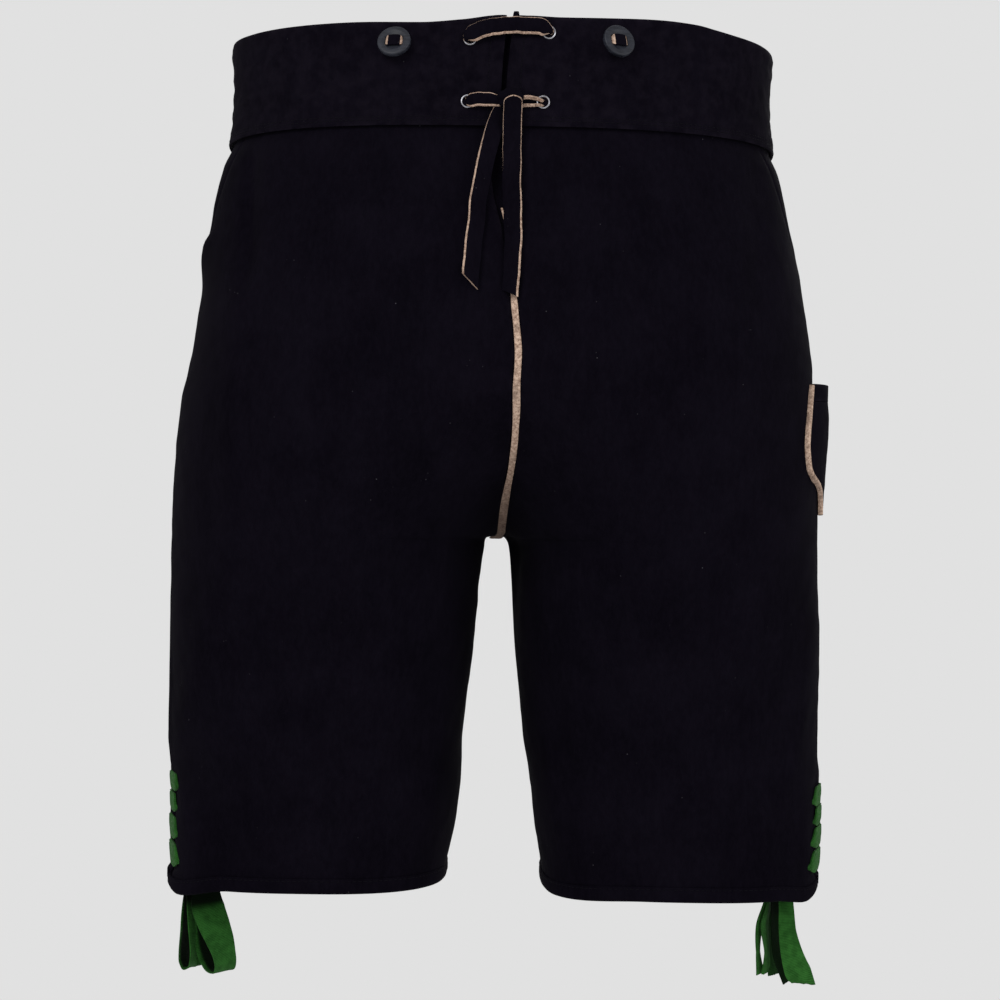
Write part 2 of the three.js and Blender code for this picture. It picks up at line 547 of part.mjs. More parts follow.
// Side slits: a tongue behind each, and a ribbon laced across it four times.
const LACE_PITCH = 14.6;
const RIBBON = { width: 11.5, thick: 1.4 };
for (const { side, label } of SIDES) {
  add(`tongue_${label}`, patch(steps(5), steps(3), 1.2, (v, u) => ({
    spot: sideSpot(side, mix(-9, 9, u), mix(SIDE_SLIT_Z + 2, panelFoot + 0.3, v)),
    lift: -LEATHER - GAP - 1.2 - 0.5,
  })), suede);
  for (let k = 0; k < 4; k++) {
    const z = SIDE_SLIT_Z - 8.2 - k * LACE_PITCH;
    const tilt = k % 2 ? -2.4 : 2.4;
    const reach = 11;
    const frames = steps(8).map((t) => {
      const a = mix(-reach, reach, t);
      const place = sideSpot(side, a, z + mix(tilt, -tilt, t));
      const arch = Math.sin(Math.PI * t);
      return { point: lifted(place, GAP + RIBBON.thick / 2 + (side > 0 ? 0.3 : 1.1) * arch), out: place.normal,
        across: new THREE.Vector3(0, 0, 1) };
    });
    add(`side_lace_${label}_${k + 1}`, sweepGeometry(frames, (t) => stripOutline(
      mix(5.5, RIBBON.width, smooth(Math.sin(Math.PI * t) * 1.4)), RIBBON.thick)), ribbonGreen);
  }
}

// Ribbon ends: a knot inside the foot of each slit, and four ends that hang below the hem.
// x: distance of the foot from the middle. neck: the same where the end leaves the hem. y: towards the back.
const KNOT_Z = -505;
const RIBBON_ENDS = {
  left: [
    { x: 190, neck: 186, y: 5, foot: -570, width: 10, turn: 0.7 },
    { x: 183, neck: 181, y: -5, foot: -568, width: 9, turn: 0.4 },
    { x: 172, neck: 176, y: 3, foot: -579, width: 14, turn: 0.15 },
    { x: 163, neck: 170, y: -3, foot: -571, width: 13, turn: -0.1 },
  ],
  right: [
    { x: 196, neck: 187, y: 4, foot: -580, width: 15, turn: -0.15 },
    { x: 187, neck: 183, y: -5, foot: -577, width: 10, turn: 0.9 },
    { x: 180, neck: 179, y: 5, foot: -575, width: 9, turn: 0.5 },
    { x: 173, neck: 175, y: -2, foot: -572, width: 9, turn: 0.3 },
  ],
};
for (const { side, label } of SIDES) {
  const place = sideSpot(side, 0, KNOT_Z);
  const tongueInside = LEATHER + GAP + 1.2 + 0.5 + GAP;
  const root = place.point.clone().addScaledVector(place.normal, -tongueInside - 5);
  const knot = new THREE.SphereGeometry(1, 10, 6).scale(4.6, 9, 6)
    .applyMatrix4(new THREE.Matrix4().makeRotationZ(Math.atan2(place.normal.y, place.normal.x)))
    .translate(root.x, root.y, root.z);
  let bundle = toSolid(knot);
  for (const end of RIBBON_ENDS[label]) {
    const at = (x, share, z) => new THREE.Vector3(side * x, root.y + end.y * share, z);
    const path = [root.clone(), at(end.neck, 0.5, -524), at(mix(end.neck, end.x, 0.5), 1.2, mix(-524, end.foot, 0.55)),
      at(end.x, 1, end.foot)];
    const frames = curveFrames(path, 7, () => new THREE.Vector3(Math.sin(end.turn), Math.cos(end.turn), 0));
    bundle = bundle.add(toSolid(sweepGeometry(frames, (t) => {
      const half = mix(3.2, end.width / 2, smooth(t * 2.2));
      const thin = mix(1.3, 0.8, t);
      return [[thin, -half], [thin, half], [-thin, half], [-thin, -half]];
    })));
  }
  add(`ribbon_ends_${label}`, fromSolid(bundle), ribbonGreen);
}

// Back lace: a leather thong through two rows of eyelets, tied below, with two free tails.
const onBand = (a, z, lift) => lifted(centreSpot(a, z), bandOut + lift);
const outAt = (a, z) => centreSpot(a, z).normal;
function lace(name, points, count, widths, material = suede, thick = LACE_THICK) {
  const facing = (t) => {
    const at = points[Math.min(points.length - 1, Math.round(t * (points.length - 1)))];
    return outAt(at.a, at.z);
  };
  const frames = curveFrames(points.map(({ a, z, lift }) => onBand(a, z, lift)), count, facing);
  add(name, sweepGeometry(frames, (t) => stripOutline(widths(t), thick)), material);
}
const [topRow, lowRow] = LACE_ROWS;
lace("lace_top", [
  { a: topRow.leftA + 0.2, z: topRow.leftZ, lift: 0.3 }, { a: topRow.leftA - 1, z: topRow.leftZ + 0.4, lift: 2.4 },
  { a: 20.4, z: -7.9, lift: 3.4 }, { a: 12, z: -4.2, lift: 4.3 }, { a: 0, z: -2.4, lift: 4.6 },
  { a: -12, z: -2.2, lift: 4.4 }, { a: -20.5, z: -3.4, lift: 3.6 },
  { a: topRow.rightA + 1, z: topRow.rightZ + 0.2, lift: 2.4 }, { a: topRow.rightA - 0.2, z: topRow.rightZ, lift: 0.3 },
], 20, (t) => mix(3.6, LACE_WIDTH, smooth(Math.sin(Math.PI * t) * 1.5)));
lace("lace_loop", [
  { a: lowRow.leftA + 0.2, z: lowRow.leftZ, lift: 0.3 }, { a: lowRow.leftA - 1, z: lowRow.leftZ, lift: 2.3 },
  { a: 15.5, z: -46.4, lift: 3.2 }, { a: 9, z: -46.2, lift: 3.6 }, { a: 3.2, z: -46.4, lift: 3.4 },
], 10, (t) => mix(3.6, 8, smooth(t * 2.6)) - 1.5 * smooth((t - 0.7) * 3));
const strand = (name, z, end) => lace(name, [
  { a: -13.6, z, lift: 2.8 }, { a: -17.6, z, lift: 2.9 }, { a: -21.6, z: mix(z, end, 0.6), lift: 2.8 },
  { a: lowRow.rightA + 1.1, z: end, lift: 2.0 }, { a: lowRow.rightA - 0.2, z: end, lift: 0.3 },
], 7, () => 2.3, naturalEdge, 1.5);
strand("lace_strand_upper", -44.4, -45.5);
strand("lace_strand_lower", -49, -48);

// The knot is a short barrel wrapped round the crossing thongs.
const knotPlace = centreSpot(-5.6, -46.4);
const knotSolid = new THREE.SphereGeometry(1, 14, 8).scale(7.6, 5.4, 3.2)
  .applyMatrix4(standing(lifted(knotPlace, bandOut + 3.6), knotPlace.normal));
add("lace_knot", knotSolid, suede);

// Tails: x from the middle and lift from the form, by height. The right one folds over the knot's top.
const TAILS = {
  right: [
    { x: -6.4, z: -42.4, lift: 9.8 }, { x: -6.5, z: -46, lift: 10.4 }, { x: -6.5, z: -55, lift: 9.7 },
    { x: -6.2, z: -68, lift: 6.2 }, { x: -6.3, z: -86, lift: 4.2 }, { x: -6.9, z: -106, lift: 3.6 },
    { x: -7.1, z: -120, lift: 3.4 }, { x: -6.3, z: -140, lift: 3.2 }, { x: -5.4, z: -161, lift: 3.0 },
  ],
  left: [
    { x: 3.4, z: -52.2, lift: 6.6 }, { x: 5.2, z: -61, lift: 7.2 }, { x: 8.1, z: -78, lift: 6.8 },
    { x: 11.6, z: -98, lift: 6.2 }, { x: 14.6, z: -119, lift: 5.6 }, { x: 16.6, z: -138, lift: 5.0 },
    { x: 17.6, z: -157, lift: 4.6 },
  ],
};
const TAIL_TURN = { right: 0, left: 0.42 };
for (const label of ["left", "right"]) {
  const points = TAILS[label].map(({ x, z, lift }) => {
    const place = centreSpot(x - drift(z), z);
    return place.point.clone().addScaledVector(place.normal, lift);
  });
  const turned = new THREE.Vector3(Math.sin(TAIL_TURN[label]), Math.cos(TAIL_TURN[label]), 0);
  const frames = curveFrames(points, 18, () => turned);
  add(`lace_tail_${label}`, sweepGeometry(frames, (t) => {
    const flat = stripOutline(LACE_WIDTH, LACE_THICK);
    const point = smooth((t - 0.93) / 0.07);
    return flat.map(([out, across]) => [out, across > 0 ? across * (1 - 0.6 * point) : across]);
  }), suede);
}

// Drop front: lies over the band and both front panels, and is sewn along its foot.
const FLAP = { top: -33, foot: -172, half: 94, thick: 1.8 };
add("drop_front", patch([0, 0.07, 0.14, 0.22, 0.3, 0.42, 0.56, 0.7, 0.82, 0.89, 0.95, 1], steps(10), FLAP.thick,
  (v, u) => {
    const z = mix(FLAP.top, FLAP.foot, v);
    const corner = clamp((v - 0.82) / 0.18, 0, 1);
    const half = FLAP.half * (1 - 0.05 * v) - 30 * (1 - Math.sqrt(1 - corner ** 2));
    const a = mix(-half, half, u);
    const overBand = smooth((z + BAND_HEIGHT + 16) / 15);
    const overLap = smooth((50 - Math.abs(a)) / 14);
    const lift = GAP + 0.4 + overBand * (BAND_THICK + GAP) * (1 + overLap);
    return { spot: frontSpot(a, z), lift };
  }), suede);

// Buttons, each a dished disc with two slots for its leather tie.
const buttonProfile = [[0, 0], [BUTTON_RADIUS - 0.8, 0], [BUTTON_RADIUS, 0.8], [BUTTON_RADIUS, BUTTON_THICK - 0.8],
  [BUTTON_RADIUS - 0.9, BUTTON_THICK], [BUTTON_RADIUS - 4, BUTTON_THICK], [BUTTON_RADIUS - 4.8, BUTTON_THICK - 0.9],
  [0, BUTTON_THICK - 0.9]].map(([x, y]) => new THREE.Vector2(x, y));
const SLOT = { at: 3.3, width: 2.1, height: 5.8 };
const TIE = { width: 5.0, thick: 1.3 };
const slotTool = (x) => new THREE.BoxGeometry(SLOT.width, SLOT.height, 12).translate(x, 0, 0);
const buttonGeometry = cut(new THREE.LatheGeometry(buttonProfile, 18).rotateX(Math.PI / 2).translate(0, 0, STANDOFF),
  [slotTool(SLOT.at), slotTool(-SLOT.at)]);
function tieGeometry() {
  const top = STANDOFF + BUTTON_THICK - 0.9 + GAP + TIE.thick / 2;
  const turn = SLOT.at;
  const foot = GAP + 0.1;
  const t = TIE.thick / 2;
  const arch = [[-turn - t, foot], [-turn - t, top - 0.7], [-turn + 0.9 - t, top + t], [turn - 0.9 + t, top + t],
    [turn + t, top - 0.7], [turn + t, foot], [turn - t, foot], [turn - t, top - t], [-turn + t, top - t],
    [-turn + t, foot]];
  const shape = new THREE.Shape(arch.map(([x, y]) => new THREE.Vector2(x, y)));
  return new THREE.ExtrudeGeometry(shape, { depth: TIE.width, bevelEnabled: false })
    .translate(0, 0, -TIE.width / 2).rotateX(Math.PI / 2);
}
function buttonAt(name, place, lift) {
  const stand = standing(lifted(place, lift), place.normal);
  add(`button_${name}`, buttonGeometry.clone().applyMatrix4(stand), horn);
  add(`tie_${name}`, tieGeometry().applyMatrix4(stand), suede);
}
buttonAt("back_left", backSpot(63.4, -11.6), bandOut);
buttonAt("back_right", backSpot(-67, -9.6), bandOut);
buttonAt("front_left", frontSpot(92, -15), bandOut);
buttonAt("front_right", frontSpot(-92, -15), bandOut);
buttonAt("waist", frontSpot(-6, -15), GAP + 2 * BAND_THICK + GAP);
buttonAt("flap_left", frontSpot(78, -47), bandOut + GAP + 0.4 + FLAP.thick);
buttonAt("flap_right", frontSpot(-78, -47), bandOut + GAP + 0.4 + FLAP.thick);

// Side pocket welts: a strip along each slanting pocket mouth, which gapes where it meets the side.
for (const { side, label } of SIDES) {
  add(`pocket_welt_${label}`, patch(steps(9), steps(3), 2, (v, u) => {
    const z = mix(-BAND_HEIGHT - 3, -148, v);
    const a = mix(96, 40, v) + mix(0, 12, u);
    const gape = 2.6 * smooth((v - 0.4) * 3) * smooth((1 - v) * 4) * (1 - 0.6 * u);
    return { spot: sideSpot(side, a, z), lift: GAP + gape };
  }), suede);
}

// Knife pocket on the wearer's right: a mouth band, a body that tapers to a point, and a pale welt behind it.
const POCKET = { top: -205, foot: -291, bandFoot: -216.2, half: 24, middle: 13, bulge: 10, thick: 1.6 };
const pocketShare = (z) => (POCKET.top - z) / (POCKET.top - POCKET.foot);
const pocketHalf = (z) => mix(POCKET.half, 5, smooth((pocketShare(z) - 0.58) / 0.44));
const POCKET_BULGE = [{ z: -205, out: 8.4 }, { z: -235, out: 7.6 }, { z: -252, out: 6 }, { z: -270, out: 4.4 },
  { z: -284, out: 2.8 }, { z: -291, out: 1.2 }];
function pocketPlace(z, u) {
  const across = mix(-1, 1, u);
  const lift = GAP + 0.05 + tableValue(POCKET_BULGE, "out", z) * (1 - Math.abs(across) ** 2.6);
  return { spot: sideSpot(-1, POCKET.middle + across * pocketHalf(z), z), lift };
}
add("knife_pocket_band", patch([POCKET.top, -210.5, POCKET.bandFoot], steps(12), POCKET.thick, pocketPlace), suede);
add("knife_pocket", patch([POCKET.bandFoot - GAP, -224, -233, -242, -251, -259, -267, -275, -283, POCKET.foot],
  steps(12), POCKET.thick, pocketPlace), suede);
const pocketWeltFrames = [-206, -212, -220, -230, -240, -250, -258, -265, -272, -279, -285, -291].map((z) => {
  const place = sideSpot(-1, POCKET.middle - pocketHalf(z) - 2.3, z);
  const next = sideSpot(-1, POCKET.middle - pocketHalf(z - 1) - 2.3, z - 1);
  const tangent = next.point.clone().sub(place.point).normalize();
  return { point: place.point, out: place.normal, across: place.normal.clone().cross(tangent).normalize() };
});
add("knife_pocket_welt", sweepGeometry(pocketWeltFrames, () => [[GAP, -1.6], [2.6, -1.6], [3.4, -0.8], [3.4, 0.8],
  [2.6, 1.6], [GAP, 1.6]]), naturalEdge);

export default lederhosen;
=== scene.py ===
# Short suede lederhosen in the shape of their wearer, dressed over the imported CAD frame.
# Tables and routes are in millimetres and become metres when a mesh is made. The wearer faces -Y, their left is +X.
import json
import math

import bmesh
import bpy
import numpy as np
from mathutils import Matrix, Vector

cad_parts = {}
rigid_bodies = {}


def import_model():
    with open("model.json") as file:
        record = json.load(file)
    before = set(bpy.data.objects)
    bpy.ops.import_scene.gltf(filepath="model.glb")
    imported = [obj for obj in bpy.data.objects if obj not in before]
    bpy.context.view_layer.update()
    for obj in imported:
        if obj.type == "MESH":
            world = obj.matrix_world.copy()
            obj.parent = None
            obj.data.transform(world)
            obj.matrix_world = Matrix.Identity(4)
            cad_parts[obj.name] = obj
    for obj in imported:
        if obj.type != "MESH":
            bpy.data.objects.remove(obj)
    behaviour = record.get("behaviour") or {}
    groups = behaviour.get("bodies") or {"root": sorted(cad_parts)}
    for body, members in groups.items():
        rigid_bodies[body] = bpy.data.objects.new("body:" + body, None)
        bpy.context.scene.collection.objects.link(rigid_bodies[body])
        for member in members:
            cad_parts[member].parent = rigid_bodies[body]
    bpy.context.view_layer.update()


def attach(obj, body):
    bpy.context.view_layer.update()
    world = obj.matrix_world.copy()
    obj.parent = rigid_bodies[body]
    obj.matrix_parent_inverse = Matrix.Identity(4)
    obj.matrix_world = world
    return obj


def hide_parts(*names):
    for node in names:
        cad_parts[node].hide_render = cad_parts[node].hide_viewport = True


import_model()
for thing in bpy.context.scene.objects:
    thing.select_set(False)
print("frame loaded")

mm = 0.001
sides = ((1, "Left"), (-1, "Right"))

# Camera, background and lamps, in metres.
view = {"place": (-0.0027, 1.45, -0.28), "lens": 81.4, "sensor": 36, "roll": 0.92}
studio = {"background": 0.753, "floorHeight": -0.9, "floorRadius": 1.25}
lamps = {  # place, target, size and power
    "keyLight": ((0.75, 1.5, 0.75), (0, 0.1, -0.25), 0.9, 13),
    "sideLight": ((-1.3, 1.0, 0.1), (0, 0, -0.28), 0.9, 6),
    "frontLight": ((-0.6, -1.6, 0.7), (0, 0, -0.25), 1.2, 12),
}


def placeCamera():
    lens = bpy.data.cameras.new("camera")
    lens.lens = view["lens"]
    lens.sensor_width = view["sensor"]
    camera = bpy.data.objects.new("camera", lens)
    bpy.context.collection.objects.link(camera)
    camera.matrix_world = (Matrix.Translation(view["place"]) @ Matrix.Rotation(math.pi, 4, "Z")
                           @ Matrix.Rotation(math.pi / 2, 4, "X")
                           @ Matrix.Rotation(math.radians(view["roll"]), 4, "Z"))
    bpy.context.scene.camera = camera


def addLamp(name, place, target, size, energy):
    lamp = bpy.data.lights.new(name, "AREA")
    lamp.shape = "DISK"
    lamp.size = size
    lamp.energy = energy
    holder = bpy.data.objects.new(name, lamp)
    bpy.context.collection.objects.link(holder)
    holder.location = place
    holder.rotation_euler = (Vector(target) - Vector(place)).to_track_quat("-Z", "Y").to_euler()


placeCamera()
bpy.context.scene.view_settings.view_transform = "Standard"
bpy.context.scene.view_settings.look = "None"
world = bpy.data.worlds.new("studio")
bpy.context.scene.world = world
world.use_nodes = True
world.node_tree.nodes["Background"].inputs["Color"].default_value = (*[studio["background"]] * 3, 1)
for name, lamp in lamps.items():
    addLamp(name, *lamp)


def addNode(tree, kind, inputs=None, **settings):
    made = tree.nodes.new(kind)
    for key, value in settings.items():
        setattr(made, key, value)
    for key, value in (inputs or {}).items():
        if isinstance(value, bpy.types.NodeSocket):
            tree.links.new(value, made.inputs[key])
        else:
            made.inputs[key].default_value = value
    return made


socketNames = {"specular": "Specular IOR Level", "sheen": "Sheen Weight", "sheenRoughness": "Sheen Roughness",
               "roughness": "Roughness", "metallic": "Metallic"}


def newMaterial(name, **sockets):
    material = bpy.data.materials.new(name)
    material.use_nodes = True
    shader = material.node_tree.nodes["Principled BSDF"]
    for key, value in sockets.items():
        shader.inputs[socketNames[key]].default_value = value
    return material, material.node_tree, shader


def objectPattern(tree, scale=(1, 1, 1)):
    place = addNode(tree, "ShaderNodeTexCoord")
    return addNode(tree, "ShaderNodeMapping", {"Vector": place.outputs["Object"], "Scale": scale}).outputs["Vector"]


def noise(tree, vector, scale, detail=3.0, rough=0.55, bend=0.0):
    return addNode(tree, "ShaderNodeTexNoise", {"Vector": vector, "Scale": scale, "Detail": detail,
                                                "Roughness": rough, "Distortion": bend}).outputs["Fac"]


def sums(tree, kind, a, b, clamp=False):
    return addNode(tree, "ShaderNodeMath", {0: a, 1: b}, operation=kind, use_clamp=clamp).outputs[0]


def weighed(tree, *terms, clamp=False):
    # the sum of patterns, each times its share
    parts = [sums(tree, "MULTIPLY", pattern, share) for pattern, share in terms]
    total = parts[0]
    for part in parts[1:]:
        total = sums(tree, "ADD", total, part, clamp and part is parts[-1])
    return total


def attribute(tree, name):
    return addNode(tree, "ShaderNodeAttribute", attribute_name=name).outputs["Fac"]


def blendColours(tree, share, first, second):
    made = addNode(tree, "ShaderNodeMix", data_type="RGBA")
    for socket, value in ((made.inputs[0], share), (made.inputs[6], first), (made.inputs[7], second)):
        if isinstance(value, bpy.types.NodeSocket):
            tree.links.new(value, socket)
        else:
            socket.default_value = value if isinstance(value, (int, float)) else (*value, 1)
    return made.outputs[2]


def spread(tree, value, low, high):
    made = addNode(tree, "ShaderNodeMapRange", {"Value": value, "From Min": low, "From Max": high})
    made.interpolation_type = "SMOOTHSTEP"
    return made.outputs["Result"]


def setColour(tree, shader, share, first, second):
    tree.links.new(blendColours(tree, share, first, second), shader.inputs["Base Color"])


def setRoughness(tree, shader, pattern, low, high):
    made = addNode(tree, "ShaderNodeMapRange", {"Value": pattern, "To Min": low, "To Max": high})
    tree.links.new(made.outputs["Result"], shader.inputs["Roughness"])


def addBump(tree, shader, height, strength, depth):
    bump = addNode(tree, "ShaderNodeBump", {"Height": height, "Strength": strength, "Distance": depth * mm})
    tree.links.new(bump.outputs["Normal"], shader.inputs["Normal"])


suedeLook = {"deep": (0.0020, 0.0015, 0.0031), "raised": (0.0047, 0.0037, 0.0070),
             "paleWearAndLight": (0.0095, 0.0074, 0.0122), "lint": (0.05, 0.047, 0.055), "bump": 0.6}


def makeSuede():
    material, tree, shader = newMaterial("suede", specular=0.010, sheen=0.003, sheenRoughness=0.5, roughness=0.95)
    plain = objectPattern(tree)
    mottle = noise(tree, plain, 22, 4, 0.6)
    nap = noise(tree, objectPattern(tree, (1, 1, 0.5)), 330, 6, 0.72, 0.4)
    streaks = noise(tree, objectPattern(tree, (1, 1, 0.22)), 95, 4, 0.6, 0.3)
    tone = weighed(tree, (spread(tree, mottle, 0.3, 0.72), 0.42), (spread(tree, nap, 0.3, 0.75), 0.42),
                   (spread(tree, streaks, 0.35, 0.7), 0.16), clamp=True)
    cloth = blendColours(tree, tone, suedeLook["deep"], suedeLook["raised"])
    # paler where the piece's own attribute says, but only in patches: real wear along rims and seams, and painted
    # light over the whole waistband
    worn = sums(tree, "MULTIPLY", attribute(tree, "wearAndLight"), spread(tree, noise(tree, plain, 130, 4), 0.35, 0.7))
    cloth = blendColours(tree, worn, cloth, suedeLook["paleWearAndLight"])
    specks = addNode(tree, "ShaderNodeTexVoronoi", {"Vector": plain, "Scale": 230, "Randomness": 1})
    patches = spread(tree, noise(tree, plain, 61, 2), 0.62, 0.70)
    lint = sums(tree, "MULTIPLY", patches, spread(tree, specks.outputs["Distance"], 0.10, 0.04))
    setColour(tree, shader, lint, cloth, suedeLook["lint"])
    setRoughness(tree, shader, nap, 0.86, 1.0)
    addBump(tree, shader, weighed(tree, (nap, 0.75), (streaks, 0.55)), 0.5, suedeLook["bump"])
    return material


# the pale cut edge of the leather, what soils it, and its painted shade
edgeLook = {"bright": (0.60, 0.44, 0.34), "dark": (0.20, 0.12, 0.085), "soiled": (0.09, 0.06, 0.045),
            "worn": (0.045, 0.026, 0.022), "bump": 0.4}


def makeNaturalEdge():
    material, tree, shader = newMaterial("naturalEdge", specular=0.15, roughness=0.85)
    plain = objectPattern(tree)
    fibres = noise(tree, plain, 700, 5, 0.7)
    patches = noise(tree, plain, 150, 3)
    raw = blendColours(tree, spread(tree, fibres, 0.3, 0.7), edgeLook["dark"], edgeLook["bright"])
    soil = sums(tree, "MULTIPLY", spread(tree, patches, 0.45, 0.72), 0.55)
    soiled = blendColours(tree, soil, raw, edgeLook["soiled"])
    # painted shade: the welt darkened by its attribute towards the crotch
    worn = sums(tree, "MULTIPLY", attribute(tree, "worn"), 0.62)
    setColour(tree, shader, worn, soiled, edgeLook["worn"])
    addBump(tree, shader, fibres, 0.5, edgeLook["bump"])
    return material


hornLook = {"dark": (0.006, 0.007, 0.011), "bright": (0.020, 0.022, 0.031), "bump": 0.3}


def makeHorn():
    material, tree, shader = newMaterial("horn", specular=0.22, roughness=0.42)
    grain = noise(tree, objectPattern(tree, (1, 1, 5)), 160, 5, 0.6, 0.8)
    cloud = noise(tree, objectPattern(tree), 120, 2)
    tone = spread(tree, weighed(tree, (grain, 0.6), (cloud, 0.4)), 0.35, 0.68)
    setColour(tree, shader, tone, hornLook["dark"], hornLook["bright"])
    setRoughness(tree, shader, grain, 0.36, 0.52)
    addBump(tree, shader, grain, 0.18, hornLook["bump"])
    return material


ribbonLook = {"dark": (0.0070, 0.040, 0.0055), "bright": (0.032, 0.140, 0.024), "shaded": (0.0014, 0.0052, 0.0013),
              "rib": 0.95, "warp": 0.6, "bump": 0.25}


def makeRibbon():
    material, tree, shader = newMaterial("ribbon", specular=0.05, sheen=0.02, sheenRoughness=0.4, roughness=0.8)
    lay = addNode(tree, "ShaderNodeUVMap", uv_map="lay").outputs["UV"]
    run = addNode(tree, "ShaderNodeSeparateXYZ", {"Vector": lay})
    ribs, warps = (sums(tree, "SINE", sums(tree, "MULTIPLY", run.outputs[axis], 2 * math.pi / (pitch * mm)), 0.0)
                   for axis, pitch in (("Y", ribbonLook["rib"]), ("X", ribbonLook["warp"])))
    weave = sums(tree, "ADD", weighed(tree, (ribs, 0.35), (warps, 0.12)), 0.5, True)
    uneven = spread(tree, noise(tree, objectPattern(tree), 190, 4, 0.6), 0.3, 0.7)
    tone = weighed(tree, (weave, 0.55), (uneven, 0.45), clamp=True)
    lit = blendColours(tree, tone, ribbonLook["dark"], ribbonLook["bright"])
    setColour(tree, shader, attribute(tree, "shade"), lit, ribbonLook["shaded"])
    addBump(tree, shader, weave, 0.55, ribbonLook["bump"])
    return material


metalLook = {"bright": (0.42, 0.42, 0.45), "tarnished": (0.17, 0.17, 0.19)}


def makeMetal():
    material, tree, shader = newMaterial("ringMetal", specular=0.5, roughness=0.3, metallic=1.0)
    tarnish = noise(tree, objectPattern(tree), 420, 4, 0.6)
    setColour(tree, shader, spread(tree, tarnish, 0.35, 0.7), metalLook["bright"], metalLook["tarnished"])
    setRoughness(tree, shader, tarnish, 0.22, 0.48)
    return material


threadLook = {"dark": (0.0016, 0.0013, 0.0026), "bright": (0.0062, 0.0053, 0.0085), "bump": 0.2}


def makeThread():
    material, tree, shader = newMaterial("thread", specular=0.04, roughness=0.85)
    twist = noise(tree, objectPattern(tree), 900, 3)
    setColour(tree, shader, twist, threadLook["dark"], threadLook["bright"])
    addBump(tree, shader, twist, 0.4, threadLook["bump"])
    return material


def makePaper():
    material, tree, shader = newMaterial("paper", specular=0.1, roughness=0.9)
    setColour(tree, shader, noise(tree, objectPattern(tree), 60, 3), (0.74, 0.74, 0.74), (0.78, 0.78, 0.78))
    return material


suede = makeSuede()
naturalEdge = makeNaturalEdge()
horn = makeHorn()
ribbonCloth = makeRibbon()
ringMetal = makeMetal()
thread = makeThread()

bpy.ops.mesh.primitive_circle_add(vertices=96, radius=studio["floorRadius"], fill_type="NGON",
                                  location=(0, 0, studio["floorHeight"]))
floor = bpy.context.object
floor.name = "floor"
floor.data.materials.append(makePaper())
floor.select_set(False)
print("camera, light and finishes ready")

# The garment's form: level sections down the waist, seat and legs, and how they lean, sway and fold.
cloth = {"leather": 1.8, "gap": 0.3, "bandHeight": 61, "bandThick": 2.2, "tuck": 8, "crotch": -304.0, "hem": -521.0,
         "seatCurve": 95.0, "frontCurve": 72.0, "crotchSoftness": 5.2, "bindingHeight": 9.5, "bindingProud": 1.3,
         "slitFoot": -112.0, "weltWidth": 3.2, "sideSlit": -452.0, "slitSinkLeft": 2.4, "slitSinkRight": 1.4,
         "mouthSwell": 3.8}
# height, half width, depth behind, depth in front, crown, dip, inner leg, squareness, Y of the side seam, split
formRows = np.array([
    (12, 169.6, 121, 112, 4, 0, 0, 2.6, 66, 66),
    (0, 169, 121, 112, 4, 0, 0, 2.6, 66, 66),
    (-30, 167.4, 122, 114, 5, 0, 0, 2.55, 64, 66),
    (-61, 170.6, 124, 118, 8, 0, 0, 2.5, 61, 66),
    (-75, 176, 126, 120, 14, 0, 0, 2.45, 57, 67),
    (-110, 183.6, 131, 123, 30, 0.2, 0, 2.4, 44, 70),
    (-150, 189.8, 136, 125, 46, 1.2, 0, 2.4, 33, 74),
    (-200, 197, 138, 125, 60, 3, 0, 2.4, 26, 80),
    (-250, 202.4, 132, 121, 78, 5, 0, 2.4, 24, 90),
    (-303, 204.3, 117.3, 112.2, 99.7, 6, 0, 2.35, 26, 102.8),
    (-304, 204.3, 117, 112, 100, 6, 5.2, 2.35, 26, 103),
    (-309, 204.5, 115.7, 111, 101.3, 6, 8, 2.35, 26, 104),
    (-325, 205, 112, 108, 104, 6, 10, 2.3, 27, 106.5),
    (-370, 206, 103, 101, 109, 6, 13, 2.3, 29, 111),
    (-408, 206.4, 97, 97, 112, 6, 17, 2.3, 31, 114),
    (-447, 206.6, 92, 94, 115, 6, 21, 2.3, 33, 116.5),
    (-485, 206.6, 88, 91, 117, 6, 25.2, 2.5, 34, 118.5),
    (-502, 205.7, 86, 90, 118, 6, 28.4, 2.6, 34, 119.5),
    (-523, 205.2, 85, 89, 118.5, 6, 32, 2.7, 34, 120),
], dtype=float)
# by height: how far the centre line stands off the middle, and how far the whole garment leans
driftRows = np.array([
    (12, -4.5), (0, -3.5), (-45, 1.5), (-75, 2), (-104, 1.2), (-112, -0.2), (-120, -1.9), (-134, -3.6), (-151, -5.6),
    (-168, -7.2), (-190, -9.4), (-209, -10.6), (-226, -11.5), (-242, -11), (-259, -9.4), (-275, -6.7), (-292, -4.6),
    (-304, -3.7), (-309, -5), (-330, -3), (-380, -0.6), (-430, 0), (-523, 0)], dtype=float)
leanRows = np.array([(-100, 0), (-150, -2), (-190, -2.4), (-222, 0), (-430, -0.4), (-450, -2), (-468, -2.7),
                     (-500, -2.6), (-523, -1.8)], dtype=float)
# by place across: how high the band's top edge rises behind
riseRows = np.array([(168, 2), (150, 1), (90, 0.9), (48, 0.2), (24, 1.9), (0, 4.8), (-18, 4.6), (-34, 4), (-60, 4.4),
                     (-95, 5.2), (-115, 4.6), (-126, 3.2), (-140, 1.8), (-155, 1), (-170, 0)], dtype=float)
